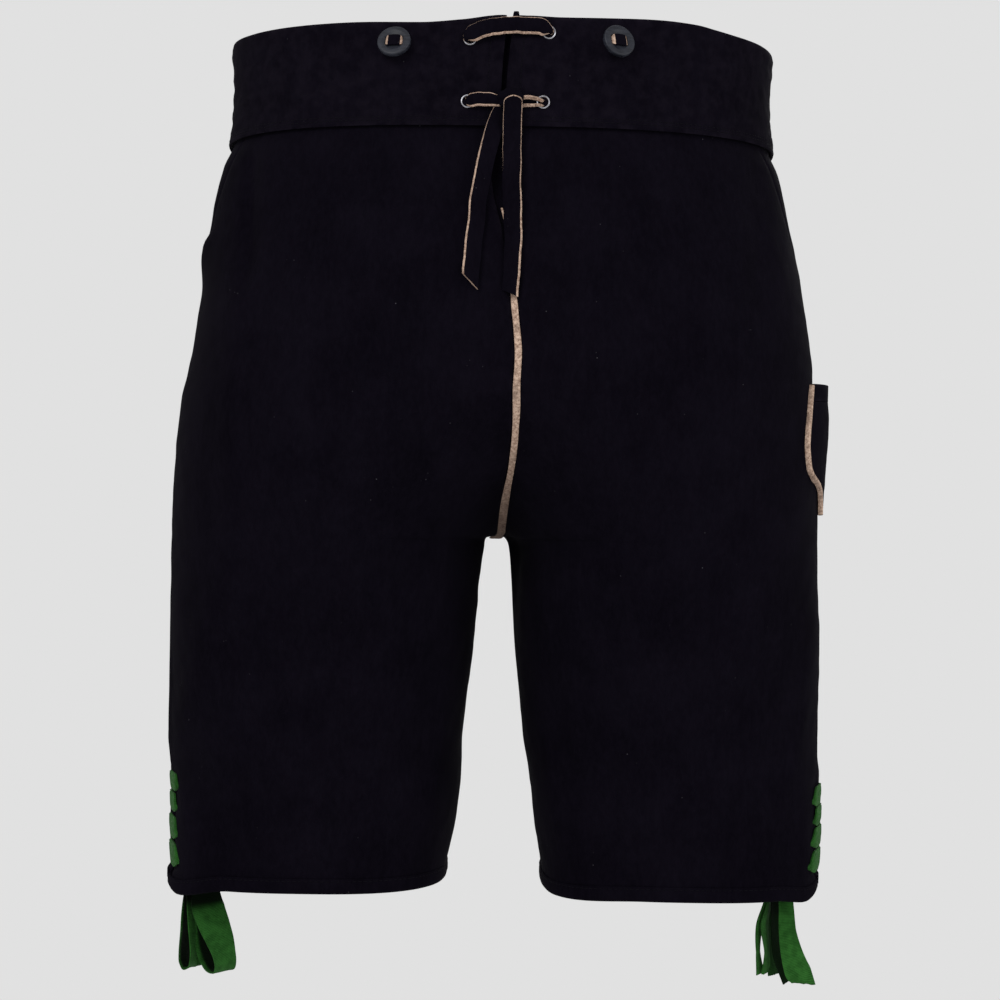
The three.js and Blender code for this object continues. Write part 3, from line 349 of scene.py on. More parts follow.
# soft folds: side of the garment (1 behind, -1 in front), start, end, height and half width
folds = [
    (1, 158, -140, 160, -320, 1.6, 9), (1, 160, -320, 196, -432, 1.5, 9), (1, 150, -68, 150, -150, -2.4, 6),
    (1, 186, -436, 158, -500, -2.4, 11), (1, 24, -350, 38, -490, 1.4, 7), (1, -155, -74, -156, -170, -1.4, 7),
    (1, -200, -345, -178, -470, 1.6, 8), (1, -172, -450, -184, -500, -2.0, 11), (1, -26, -365, -44, -495, 1.4, 7),
    (1, -28, -72, -26, -160, -1.3, 9), (1, 27, -72, 24, -130, -1.0, 9),
    (-1, 150, -330, 138, -495, 1.5, 12), (-1, -146, -345, -132, -490, 1.5, 12),
]
# finer creases that only the panels' outer face shows
creases = [
    (1, -148, -82, -176, -150, 0.5, 4), (1, 152, -150, 158, -300, 0.5, 4), (1, 153, -72, 152, -160, -2.0, 2.6),
    (1, -192, -400, -178, -470, 0.5, 4), (1, -190, -430, -196, -505, 0.5, 4), (1, 30, -410, 40, -490, 0.45, 4),
    (1, -30, -420, -46, -495, 0.45, 4), (1, 196, -440, 166, -505, -0.7, 5), (1, 120, -70, 132, -104, -0.5, 6),
    (1, -60, -70, -64, -112, -0.45, 7), (1, 90, -498, 150, -508, 0.35, 5), (-1, 120, -80, 150, -170, 0.5, 6),
    (-1, -118, -84, -150, -180, 0.5, 6), (-1, 40, -200, 90, -250, 0.6, 9), (-1, -44, -206, -92, -262, 0.6, 9),
]


def smooth(t):
    held = np.clip(t, 0, 1)
    return held * held * (3 - 2 * held)


def mix(a, b, t):
    return a + (b - a) * t


def easedTable(rows, column=1):
    # a reading of one column by height, with no overshoot between the rows
    keys = rows[::-1, 0]
    values = rows[::-1, column]
    slopes = np.diff(values) / np.diff(keys)
    before, after = slopes[:-1], slopes[1:]
    both = np.where(before + after == 0, 1, before + after)
    between = np.where(before * after <= 0, 0, 2 * before * after / both)
    bends = np.concatenate([slopes[:1], between, slopes[-1:]])

    def reading(at):
        held = np.clip(at, keys[0], keys[-1])
        i = np.clip(np.searchsorted(keys, held, side="right") - 1, 0, len(keys) - 2)
        span = keys[i + 1] - keys[i]
        t = (held - keys[i]) / span
        return (values[i] * (1 + 2 * t) * (1 - t) ** 2 + bends[i] * span * t * (1 - t) ** 2
                + values[i + 1] * t * t * (3 - 2 * t) + bends[i + 1] * span * t * t * (t - 1))
    return reading


formColumns = ("side", "back", "front", "crown", "dip", "inner", "square", "seam", "split")
form = {name: easedTable(formRows, i + 1) for i, name in enumerate(formColumns)}
drift = easedTable(driftRows)
lean = easedTable(leanRows)
rise = easedTable(riseRows)


def fork(z, curve):
    t = np.clip((z - cloth["crotch"]) / curve, 0, 1)
    return (1 - (1 - t) ** 1.6) ** (1 / 1.6)


def hang(side, x, y, z):
    low = smooth((-440 - z) / 70)
    if side > 0:
        return low * mix(1.0, -6.6, smooth((x - 160) / 42))
    return low * (-0.6 - 3 * smooth(y / 50) * (1 - smooth((x - 36) / 56)) - 3.6 * smooth((x - 172) / 26))


rings = {}
innerCount, outerCount = 27, 49  # points from the centre line to the crown of a leg, and from there to the side
crownAt, sideAt, frontAt = innerCount - 1, innerCount + outerCount - 2, innerCount + 2 * outerCount - 3


def runLength(points):
    return np.concatenate([[0], np.cumsum(np.linalg.norm(np.diff(points, axis=0), axis=1))])


def ring(z):
    # half of a level section, from the centre back or inseam round the outside to the centre front
    key = round(float(z), 3)
    if key in rings:
        return rings[key]
    f = {name: float(read(z)) for name, read in form.items()}
    rounded = float(smooth((cloth["crotch"] + 70 - z) / 110))
    power = 2 / f["square"]
    eased = 0
    if z > cloth["crotch"]:
        eased = max(0, cloth["crotchSoftness"] * float(smooth((-262 - z) / 42)) - f["inner"])
    xs, ys = [], []

    def quarter(depth, seamDepth, outer, backwards):
        t = np.linspace(0, 1, outerCount if outer else innerCount)
        rising = np.sin(t * math.pi / 2)
        falling = np.cos(t * math.pi / 2).clip(0)
        if outer:
            x = f["crown"] + (f["side"] - f["crown"]) * rising ** power
            y = depth * falling ** power
        else:
            share = mix(t, 1 - falling ** power, rounded)
            x = mix(f["inner"], f["crown"], share) + eased * (1 - share) * (1 - np.exp(-share / 0.03))
            y = mix(seamDepth, depth, mix(rising, rising ** power, rounded))
        if backwards:
            x, y = x[::-1], y[::-1]
        start = 1 if xs else 0
        xs.extend(x[start:])
        ys.extend(y[start:])

    quarter(f["back"], (f["back"] - f["dip"]) * fork(z, cloth["seatCurve"]), False, False)
    quarter(f["back"], 0, True, False)
    quarter(-f["front"], 0, True, True)
    quarter(-f["front"], -f["front"] * fork(z, cloth["frontCurve"]), False, True)
    x, y = np.array(xs), np.array(ys)
    along = np.concatenate([[0], np.cumsum(np.hypot(np.diff(x), np.diff(y)))])
    back, outside, front = slice(crownAt, sideAt + 1), slice(crownAt, frontAt + 1), slice(sideAt, frontAt + 1)
    rings[key] = {"x": x, "y": y, "along": along, "length": along[-1], "side": f["side"],
                  "backSplit": np.interp(f["split"], x[back], along[back]),
                  "seam": np.interp(-f["seam"], -y[outside], along[outside]),
                  "frontSplit": np.interp(-f["split"], -x[front], along[front])}
    return rings[key]


def formLine(side, z, s):
    r = ring(z)
    x = np.interp(s, r["along"], r["x"])
    y = np.interp(s, r["along"], r["y"])
    sway = drift(z) * (1 - x / r["side"]) ** 2 * smooth(y / 24)
    sunk = cloth["slitSinkLeft" if side > 0 else "slitSinkRight"] * smooth((-446 - z) / 10) * smooth((z + 514) / 8)
    x = x - sunk * np.exp(-((s - r["seam"]) / 17) ** 2)
    if side > 0:  # the cloth swells out where the pocket mouth ends
        swell = cloth["mouthSwell"] * smooth((-114 - z) / 11) * smooth((z + 155) / 26)
        x = x + swell * np.exp(-((s - r["seam"] + 5) / 17) ** 2)
    return np.stack([side * x + sway + lean(z), y, z + hang(side, x, y, z)], axis=-1)


def cornerRise(side, x):
    # how far the rounded corner of the hem by the side slit stands above the rest of the hem
    outer, reach = (201.9, 11) if side > 0 else (206.3, 13.5)
    near = np.clip(reach - (outer - np.abs(x)), 0, reach)
    return np.minimum(reach - np.sqrt(reach ** 2 - near ** 2), 7)


def foldHeight(points, lines):
    x, y, z = points[..., 0], points[..., 1], points[..., 2]
    height = np.zeros(x.shape)
    for face, startX, startZ, endX, endZ, lift, reach in lines:
        alongX, alongZ = endX - startX, endZ - startZ
        t = np.clip(((x - startX) * alongX + (z - startZ) * alongZ) / (alongX ** 2 + alongZ ** 2), 0, 1)
        away = np.hypot(x - startX - t * alongX, z - startZ - t * alongZ)
        fold = lift * np.exp(-(away / reach) ** 2) * smooth(np.minimum(t, 1 - t) * 4 + 0.35)
        height += np.where(np.sign(y) == face, fold, 0)
    quiet = smooth((-cloth["bandHeight"] - 2 - z) / 14) * smooth((z - cloth["hem"] - cloth["bindingHeight"] - 2) / 16)
    return height * quiet * smooth(np.abs(y) / 24)


def ripple(points, wavelength, seed):
    # gentle unevenness in any direction, about 1 high
    draws = np.random.default_rng(seed)
    total = np.zeros(points.shape[:-1])
    for _ in range(9):
        way = draws.normal(size=3)
        way *= 2 * math.pi / (np.linalg.norm(way) * wavelength * draws.uniform(0.7, 1.5))
        total += np.sin(points @ way + draws.uniform(0, 2 * math.pi))
    return total / 3


def backLine(z, a):
    return np.where((a < 0)[:, None], formLine(-1, z, np.abs(a)), formLine(1, z, np.abs(a)))


def frontLine(z, a):
    length = ring(z)["length"]
    return np.where((a < 0)[:, None], formLine(-1, z, length - np.abs(a)), formLine(1, z, length - np.abs(a)))


def sideLine(side):
    return lambda z, a: formLine(side, z, ring(z)["seam"] + a)


def unit(vectors):
    return vectors / np.maximum(1e-9, np.linalg.norm(vectors, axis=-1, keepdims=True))


def readAlong(at, length, values):
    return np.stack([np.interp(at, length, values[:, k]) for k in range(3)], axis=1)


def gridNormals(grid, turn):
    return unit(np.cross(-np.gradient(grid, axis=0), np.gradient(grid, axis=1)) * turn)


def spotOn(line, turn, a, z, withFold=True):
    # a point of the form, its outward direction, and the fold there
    reach = 1.5

    def on(level, place):
        return line(level, np.array([place], dtype=float))[0]
    point = on(z, a)
    out = unit(np.cross(on(z + reach, a) - on(z - reach, a), on(z, a + reach) - on(z, a - reach)) * turn)
    return point, out, float(foldHeight(point[None], folds)[0]) if withFold else 0.0


def centreSpot(a, z):
    # on the centre back, with its direction evened out across both halves
    point, _, _ = spotOn(backLine, 1, a, z, False)
    out = unit(spotOn(backLine, 1, a + 10, z, False)[1] + spotOn(backLine, 1, a - 10, z, False)[1])
    return point, out


def newPiece(name, points, faces, materials, slots=None):
    mesh = bpy.data.meshes.new(name)
    mesh.from_pydata((np.asarray(points) * mm).tolist(), [], [list(map(int, face)) for face in faces])
    for material in materials:
        mesh.materials.append(material)
    if slots is not None:
        mesh.polygons.foreach_set("material_index", np.asarray(slots, dtype=np.int32))
    mesh.update()
    piece = bpy.data.objects.new(name, mesh)
    bpy.context.collection.objects.link(piece)
    return piece


def makeActive(piece):
    for other in bpy.context.selected_objects:
        other.select_set(False)
    piece.select_set(True)
    bpy.context.view_layer.objects.active = piece


def applyAll(piece):
    makeActive(piece)
    for modifier in list(piece.modifiers):
        bpy.ops.object.modifier_apply(modifier=modifier.name)


def smoothShade(piece, angle=50):
    makeActive(piece)
    bpy.ops.object.shade_smooth_by_angle(angle=math.radians(angle))
    piece.select_set(False)


def dress(piece, slot, *nodes):
    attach(piece, "root")
    if nodes:
        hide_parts(*nodes)


def paint(piece, name, values):
    # a value for each point, read by the finish under this name
    spot = piece.data.attributes.new(name, "FLOAT", "POINT")
    spot.data.foreach_set("value", np.asarray(values, dtype=np.float32).ravel())


def addWall(piece, thick, offset):
    wall = piece.modifiers.new("wall", "SOLIDIFY")
    wall.thickness = thick * mm
    wall.offset = offset
    return wall


def addBevel(piece, width, segments, angle):
    ease = piece.modifiers.new("ease", "BEVEL")
    ease.width = width * mm
    ease.segments = segments
    ease.limit_method = "ANGLE"
    ease.angle_limit = math.radians(angle)


def clothPiece(name, grid, turn, thick, wearAndLight, easing=0.55):
    # a sheet of rows and columns on its outer face, thickened inwards, with its cut edges eased
    rows, columns = grid.shape[:2]
    index = np.arange(rows * columns).reshape(rows, columns)
    a, b, c, d = index[:-1, :-1], index[1:, :-1], index[1:, 1:], index[:-1, 1:]
    corners = (a, d, c, b) if turn > 0 else (a, b, c, d)
    piece = newPiece(name, grid.reshape(-1, 3), np.stack([corner.ravel() for corner in corners], axis=1), [suede])
    paint(piece, "wearAndLight", wearAndLight)
    addWall(piece, thick, -1).use_quality_normals = True
    addBevel(piece, easing, 2, 62)
    applyAll(piece)
    smoothShade(piece)
    return piece


def rimRub(rows, columns, reach=2):
    # 1 along the rim of a sheet, fading over a few cells
    i = np.minimum(np.arange(rows), np.arange(rows)[::-1])[:, None]
    j = np.minimum(np.arange(columns), np.arange(columns)[::-1])[None]
    return np.clip(1 - np.minimum(i, j) / reach, 0, 1)


def stations(start, end, step, *fine):
    # levels from start to end, with closer ones about the given places
    count = max(1, round(abs(end - start) / step))
    levels = list(np.linspace(start, end, count + 1))
    close = [centre + offset for centre in fine for offset in (-1.6, -0.8, 0, 0.8, 1.6)]
    levels += [level for level in close if min(start, end) < level < max(start, end)]
    levels = np.unique(np.round(levels, 3))
    kept = [levels[0]]
    for level in levels[1:]:
        if level - kept[-1] > 0.45:
            kept.append(level)
    kept[-1] = levels[-1]
    return np.array(kept[::-1] if start > end else kept)


# The four panels.
panelCut = {"top": -cloth["bandHeight"] + cloth["tuck"], "foot": cloth["hem"] + 4.2,
            "step": 3.0, "edgeRoll": 0.8, "edgeReach": 3.2, "sway": 0.55, "unevenness": 0.16,
            "seamHalf": 0.02, "sideSlitHalf": 2.8, "backSlitHalf": 3.6, "underBand": 0.6,
            "backFlat": (0.32, 0.48), "backArea": 0.122, "frontFlat": (0.364, 0.48), "frontArea": 0.149}
crotchLevels = [-277.5, -280, -283, -286, -289, -291.5, -294, -296, -298, -299.5, -300.8, -301.8, -302.6, -303.2,
                -303.7, -304, -304.5, -305.2, -306.1, -307.4, -309, -311, -313.5, -316.5]
panelRows = np.concatenate([stations(panelCut["top"], -275, panelCut["step"]), crotchLevels,
                            stations(-320, panelCut["foot"], panelCut["step"])])


def backEdge(z):
    seamed = cloth["weltWidth"] / 2 + cloth["gap"] + 0.05
    opened = smooth((z - cloth["slitFoot"]) / 22) * smooth((-cloth["bandHeight"] + 25 - z) / 20)
    return mix(seamed, panelCut["backSlitHalf"], opened)


def sideEdge(z):
    return mix(panelCut["seamHalf"], panelCut["sideSlitHalf"], smooth((cloth["sideSlit"] - z) / 26))


def innerEdge(z):
    r = ring(z)
    if z < cloth["crotch"]:
        return cloth["gap"]
    return np.interp(backEdge(z), r["x"][:innerCount], r["along"][:innerCount])


def tuckedIn(z):
    return panelCut["underBand"] * smooth((z + cloth["bandHeight"] + 5) / 4)


def panelEdges(z, back):
    # lengths round the section at the centre, at the crown and at the side seam
    r = ring(z)
    if back:
        return innerEdge(z), r["backSplit"], r["seam"] - sideEdge(z)
    return r["length"] - cloth["gap"] / 2, r["frontSplit"], r["seam"] + sideEdge(z)


def panelGrid(side, back, turn):
    inner = np.linspace(0, 1, 37)[:-1]
    outer = np.linspace(0, 1, 54)
    base, fromCentre, fromSeam = [], [], []
    for z in panelRows:
        centre, split, seam = panelEdges(z, back)
        s = np.concatenate([mix(centre, split, inner), mix(split, seam, outer)])
        # two closer columns along each edge
        first = mix(s[0], s[1], np.array([0.3, 0.62]))
        last = mix(s[-1], s[-2], np.array([0.62, 0.3]))
        s = np.concatenate([s[:1], first, s[1:-1], last, s[-1:]])
        line = formLine(side, z, s)
        line[:, 2] += 0.8 * cornerRise(side, line[:, 0]) * smooth((-498 - z) / 18)
        base.append(line)
        fromCentre.append(np.abs(s - centre))
        fromSeam.append(np.abs(s - seam))
    base = np.array(base)
    out = gridNormals(base, turn)
    edge = np.minimum(np.array(fromCentre), np.array(fromSeam))
    roll = panelCut["edgeRoll"] * np.clip(1 - edge / panelCut["edgeReach"], 0, 1) ** 2
    z = base[..., 2]
    loose = smooth(edge / 9) * smooth((-cloth["bandHeight"] - 3 - z) / 10) * smooth((z - panelCut["foot"] - 3) / 12)
    lift = foldHeight(base, folds) + foldHeight(base, creases) - tuckedIn(z) - roll
    sway = panelCut["sway"] * ripple(base * (1, 1, 0.55), 62, 11)
    lift += loose * (sway + panelCut["unevenness"] * ripple(base, 17, 12))
    return base + out * lift[..., None], edge


for side, label in sides:
    for back in (True, False):
        turn = side if back else -side
        grid, edge = panelGrid(side, back, turn)
        where = "back" if back else "front"
        wearAndLight = np.maximum(0.6 * np.clip(1 - edge / 2.2, 0, 1), 0.5 * rimRub(*grid.shape[:2]))
        panel = clothPiece(f"{where}Panel{label}", grid, turn, cloth["leather"], wearAndLight)
        dress(panel, "suede", f"{where}_{label.lower()}")
print("panels made")

# The waistband: lapped at the centre front, open over the slit behind. The slit is given above and below.
band = {"lap": 20, "slitHalf": (1.9, 1.1), "slitShift": (0.7, 3.2), "stitchUp": (3.0, 5.0), "placket": 10.0,
        "stitchIn": 1.6, "flatLeft": (0.502, 0.061), "flatRight": (0.482, 0.061)}
nearSlit = [0, 0.7, 1.6, 3.0, 4.6, 6.4, 8.0, 9.0, 10.0, 11.0, 12.0, 14.0]


def bandGrid(side):
    base, lift, edge = [], [], []
    levels = stations(0, -cloth["bandHeight"], 2.2, -cloth["bandHeight"] + 3, -cloth["bandHeight"] + 5)
    for z in levels:
        v = -z / cloth["bandHeight"]
        r = ring(z)
        slit = mix(*band["slitHalf"], v) - side * mix(*band["slitShift"], v)
        reach = r["length"] + band["lap"] if side > 0 else r["length"] - 0.5
        s = slit + np.concatenate([nearSlit, np.linspace(16.5, reach - slit, 150)])
        over = (cloth["bandThick"] + cloth["gap"]) * smooth((16 - (r["length"] - s)) / 11) if side > 0 else 0
        line = formLine(side, z, np.clip(s, 0, r["length"]))
        line = np.where((s < 0)[:, None], formLine(-side, z, np.abs(s)), line)
        if side > 0:
            line = np.where((s > r["length"])[:, None], formLine(-1, z, 2 * r["length"] - s), line)
        line[:, 2] += rise(line[:, 0]) * smooth((line[:, 1] + 40) / 80) * (1 - v)
        base.append(line)
        lift.append(cloth["gap"] + cloth["bandThick"] + over + 0 * s)
        edge.append(np.minimum(s - slit, reach - s))
    return np.array(base), np.array(lift), np.array(edge), levels


def bandRelief(base, edge, levels):
    # pressed ridges by the slit, stitched grooves at the foot, and small drag wrinkles above it
    fromFoot = cloth["bandHeight"] + levels[:, None]
    fromTop = -levels[:, None]
    height = -0.75 * np.clip(1 - edge / 1.6, 0, 1) ** 2 - 0.6 * np.clip(1 - fromFoot / 1.4, 0, 1) ** 2
    height = height - 0.6 * np.clip(1 - fromTop / 2.0, 0, 1) ** 2
    for row in band["stitchUp"]:
        height = height - 0.28 * np.exp(-((fromFoot - row) / 0.8) ** 2)
    height = height - 0.3 * np.exp(-((edge - band["placket"] + band["stitchIn"]) / 0.8) ** 2)
    wrinkle = ripple(base * (0.55, 0.55, 1.7), 15, 21) * 0.30 + ripple(base * (1, 1, 0.5), 9, 22) * 0.10
    wrinkle = wrinkle + ripple(base, 48, 23) * 0.35
    return height + wrinkle * smooth(fromFoot / 9) * smooth(fromTop / 7) * smooth(edge / 8)


bandEdges = {}
for side, label in sides:
    base, lift, edge, levels = bandGrid(side)
    out = gridNormals(base, side)
    grid = base + out * (lift + bandRelief(base, edge, levels))[..., None]
    # painted light: the whole waistband is painted at least 0.3 paler, as the top of the garment lit from above; it
    # is worn paler still along its rims and by the slit
    wearAndLight = np.maximum(0.7 * rimRub(*grid.shape[:2], 2), 0.35 * np.clip(1 - edge / 3, 0, 1)).clip(0.3)
    piece = clothPiece(f"waistband{label}", grid, side, cloth["bandThick"], wearAndLight, 0.6)
    dress(piece, "suede", f"waistband_{label.lower()}")
    bandEdges[label] = (grid, out, levels, edge)
print("waistband made")


def smoothRoute(points, count):
    # one smooth curve through the points, read at even steps or at the given shares of its own length
    points = np.asarray(points, dtype=float)
    ends = np.vstack([2 * points[0] - points[1], points, 2 * points[-1] - points[-2]])
    fine = []
    for i in range(len(points) - 1):
        a, b, c, d = ends[i:i + 4]
        ab, bc, cd = (max(1e-6, np.linalg.norm(q - p)) ** 0.5 for p, q in ((a, b), (b, c), (c, d)))
        leaving = ((b - a) / ab - (c - a) / (ab + bc) + (c - b) / bc) * bc
        arriving = ((c - b) / bc - (d - b) / (bc + cd) + (d - c) / cd) * bc
        t = np.linspace(0, 1, 24, endpoint=False)[:, None]
        fine.append(b + leaving * t + (3 * (c - b) - 2 * leaving - arriving) * t ** 2
                    + (2 * (b - c) + leaving + arriving) * t ** 3)
    fine = np.vstack(fine + [points[-1:]])
    length = runLength(fine)
    at = np.linspace(0, length[-1], count) if np.isscalar(count) else np.asarray(count) * length[-1]
    return readAlong(at, length, fine), at


def frameAlong(route, facing):
    tangent = unit(np.gradient(route, axis=0))
    across = unit(np.cross(np.broadcast_to(facing, route.shape), tangent))
    return np.cross(tangent, across), across, tangent


def facingOut(points, faces):
    # turns every face of a closed piece round if the piece is inside out
    volume = 0
    for f in faces:
        for k in range(1, len(f) - 1):
            volume += np.dot(points[f[0]], np.cross(points[f[k]], points[f[k + 1]]))
    return [face[::-1] for face in faces] if volume < 0 else faces


def sweepPiece(name, route, out, across, outlines, materials, slots=None, capSlot=0, angle=45):
    # outlines of [out, across] points carried along a route, with a finish for each strip or each face
    outlines = np.asarray(outlines, dtype=float)
    steps, size = outlines.shape[:2]
    slots = [0] * size if slots is None else slots
    points = (route[:, None] + out[:, None] * outlines[..., :1] + across[:, None] * outlines[..., 1:2]).reshape(-1, 3)
    faces, kinds = [], []
    for i in range(steps - 1):
        for k in range(size):
            a, b = i * size + k, i * size + (k + 1) % size
            faces.append((a, b, b + size, a + size))
            kinds.append(slots[k] if np.ndim(slots) == 1 else slots[i][k])
    faces += [tuple(range(size))[::-1], tuple((steps - 1) * size + k for k in range(size))]
    kinds += [capSlot, capSlot]
    piece = newPiece(name, points, facingOut(points, faces), materials, kinds)
    lay = piece.data.uv_layers.new(name="lay")
    uv = np.stack([outlines[..., 1].ravel(), np.repeat(runLength(route), size)], axis=1) * mm
    corner = np.empty(len(piece.data.loops), dtype=np.int32)
    piece.data.loops.foreach_get("vertex_index", corner)
    lay.data.foreach_set("uv", uv[corner].astype(np.float32).ravel())
    smoothShade(piece, angle)
    return piece


def joinPieces(name, pieces):
    makeActive(pieces[0])
    for piece in pieces:
        piece.select_set(True)
    bpy.ops.object.join()
    joined = bpy.context.view_layer.objects.active
    joined.name = name
    joined.data.name = name
    joined.select_set(False)
    return joined


# The back lace. A row of eyelets is the left one's place and height, then the right one's.
bandOut = cloth["gap"] + cloth["bandThick"]
lace = {"width": 10.4, "thick": 1.6, "strandThick": 1.7, "crown": 0.25,
        "rowTop": (21.0, -9.8, -24.9, -5.4), "rowLow": (18.8, -47.0, -25.3, -46.8)}


def onBand(a, z, lift):
    point, out = centreSpot(a, z)
    return point + out * (bandOut + lift), out


def laceOutline(width, thick, low, high):
    # a dark face between two pale cut edges: low on the minus side, high on the plus side
    w, t, crown = width / 2, thick / 2, lace["crown"]
    faceLow, faceHigh = min(-w + low, -0.05), max(w - high, 0.05)
    middle = (faceLow + faceHigh) / 2
    return [(t - 0.12, faceLow), (t + crown * 0.7, mix(faceLow, middle, 0.45)), (t + crown, middle),
            (t + crown * 0.7, mix(faceHigh, middle, 0.45)), (t - 0.12, faceHigh),
            (t * 0.2, mix(faceHigh, w, 0.72)), (-t * 0.55, w), (-t, w - 0.35),
            (-t, -w + 0.35), (-t * 0.55, -w), (t * 0.2, mix(faceLow, -w, 0.72))]


laceSlots = [0, 0, 0, 0, 1, 1, 1, 0, 1, 1, 1]
paleSlots = [1] * 11


def laceStrip(name, places, count, widthAt, lowAt, highAt, thick, slots):
    laid = [onBand(*place) for place in places]
    route, at = smoothRoute([point for point, _ in laid], count)
    share = at / at[-1]
    facing = readAlong(share, np.linspace(0, 1, len(laid)), np.array([out for _, out in laid]))
    out, across, _ = frameAlong(route, facing)
    outlines = np.array([laceOutline(widthAt(t), thick, lowAt(t), highAt(t)) for t in share])
    outlines[..., 1] += 0.16 * ripple(route, 9, 31)[:, None]
    outlines[..., 0] += 0.14 * ripple(route, 13, 32)[:, None]
    return sweepPiece(name, route, out, across, outlines, [suede, naturalEdge], slots, 1)


leftA, leftZ, rightA, rightZ = lace["rowTop"]
topStrip = laceStrip(
    "laceTop",
    [(leftA + 1.0, leftZ - 0.8, -0.4), (leftA + 2.0, leftZ - 0.4, 1.3), (leftA + 0.9, leftZ + 0.9, 2.6),
     (18, -6.7, 3.8), (11, -3.9, 4.4), (0, -2.3, 4.8), (-12, -2.2, 4.6), (-20, -2.9, 4.0),
     (rightA + 1.4, -4.0, 3.0), (rightA - 0.7, rightZ + 0.3, 1.6), (rightA - 0.5, rightZ - 0.2, -0.4)],
    72, lambda t: mix(3.0, lace["width"] - 0.4, smooth(math.sin(math.pi * t) * 2.4)),
    lambda t: mix(0.9, 1.25, smooth(math.sin(math.pi * t) * 2)), lambda t: 0.28 + 0.3 * smooth((t - 0.3) * 3),
    lace["thick"], laceSlots)
leftA, leftZ, rightA, rightZ = lace["rowLow"]
loopStrip = laceStrip(
    "laceLoop",
    [(leftA + 0.3, leftZ, -0.8), (leftA + 0.2, leftZ, 1.2), (leftA - 1.2, leftZ + 0.1, 2.5), (15.5, -46.5, 3.5),
     (9, -46.3, 3.9), (3.2, -46.6, 3.4), (-1, -46.8, 2.6)],
    48, lambda t: mix(4.6, 8.3, smooth(t * 4.2)) - 1.5 * smooth((t - 0.66) * 3),
    lambda t: mix(0.8, 1.05, smooth(t * 4)), lambda t: 0.7, lace["thick"], laceSlots)
strands = [laceStrip(
    f"laceStrand{name}",
    [(-11.6, z, 2.2), (-14.6, z, 3.0), (-18, z, 3.2), (-22, mix(z, end, 0.6), 2.9), (rightA + 1.3, end, 1.6),
     (rightA - 0.2, end, -0.6)],
    24, lambda t: wide - 0.5 * t, lambda t: 1.0, lambda t: 1.0, lace["strandThick"], paleSlots)
    for name, z, end, wide in (("Upper", -44.6, -45.7, 2.6), ("Lower", -49.4, -48.9, 2.2))]
dress(topStrip, "suede", "lace_top")
dress(loopStrip, "suede", "lace_loop")
dress(strands[0], "natural_edge", "lace_strand_upper")
dress(strands[1], "natural_edge", "lace_strand_lower")

knotCut = {"at": (-6.4, -45.6, 3.5), "across": 7.9, "up": 6.2, "out": 3.5, "rows": 18, "columns": 36}


def makeKnot():
    # the thongs' crossing, a squat lump with the turns of the thong pressed into it
    point, out = onBand(*knotCut["at"])
    acrossWay = unit(np.cross([0, 0, 1], out))
    upWay = np.cross(out, acrossWay)
    rows, columns = knotCut["rows"], knotCut["columns"]
    lat = np.linspace(-math.pi / 2, math.pi / 2, rows + 2)[1:-1]
    lon = np.linspace(0, 2 * math.pi, columns, endpoint=False)
    lonGrid, latGrid = np.meshgrid(lon, lat)
    x = np.cos(latGrid) * np.cos(lonGrid)
    z = np.cos(latGrid) * np.sin(lonGrid)
    y = np.sin(latGrid)
    boxed = np.sign(x) * np.abs(x) ** 0.85
    crease = (np.exp(-((z - 0.42 * x - 0.10) / 0.12) ** 2) + np.exp(-((z + 0.35 * x + 0.55) / 0.12) ** 2)
              + np.exp(-((x + 0.52) / 0.13) ** 2) * (z > -0.4))
    swell = 1 - 0.13 * crease * smooth(y + 0.6) + 0.03 * np.sin(5 * lonGrid)
    body = (point + acrossWay * (boxed * knotCut["across"] * swell)[..., None]
            + upWay * (z * knotCut["up"] * swell)[..., None] + out * (y * knotCut["out"] * swell)[..., None])
    points = np.vstack([body.reshape(-1, 3), [point - out * knotCut["out"], point + out * knotCut["out"]]])
    faces = []
    for j in range(columns):
        after = (j + 1) % columns
        for i in range(0, (rows - 1) * columns, columns):
            faces.append((i + j, i + after, i + columns + after, i + columns + j))
        top = (rows - 1) * columns
        faces += [(rows * columns, after, j), (rows * columns + 1, top + j, top + after)]
    knot = newPiece("laceKnot", points, facingOut(points, faces), [suede])
    smoothShade(knot, 80)
    return knot


dress(makeKnot(), "suede", "lace_knot")

# The free ends. Each station is x from the middle, height, and lift from the form.
tails = {
    "Right": {"stations": [(-6.4, -44.4, 9.2), (-6.5, -48, 10.0), (-6.5, -55, 9.7), (-6.2, -68, 6.2),
                           (-6.3, -86, 4.2), (-6.9, -106, 3.6), (-7.0, -120, 3.4), (-6.0, -140, 3.2),
                           (-4.8, -162.5, 3.0)],
              "turn": (0.0, 0.30), "endCut": 4.6, "roundTop": 4.8, "taper": 0.13},
    "Left": {"stations": [(-2.0, -48, 3.0), (1.4, -56, 4.0), (4.1, -63.5, 5.2), (7.8, -78, 6.0), (11.6, -98, 5.8),
                          (14.6, -119, 5.4), (16.6, -138, 5.0), (17.7, -158, 4.6)],
             "turn": (-0.2, -0.34), "endCut": 8.4, "roundTop": 0.0, "taper": 0.0},
}


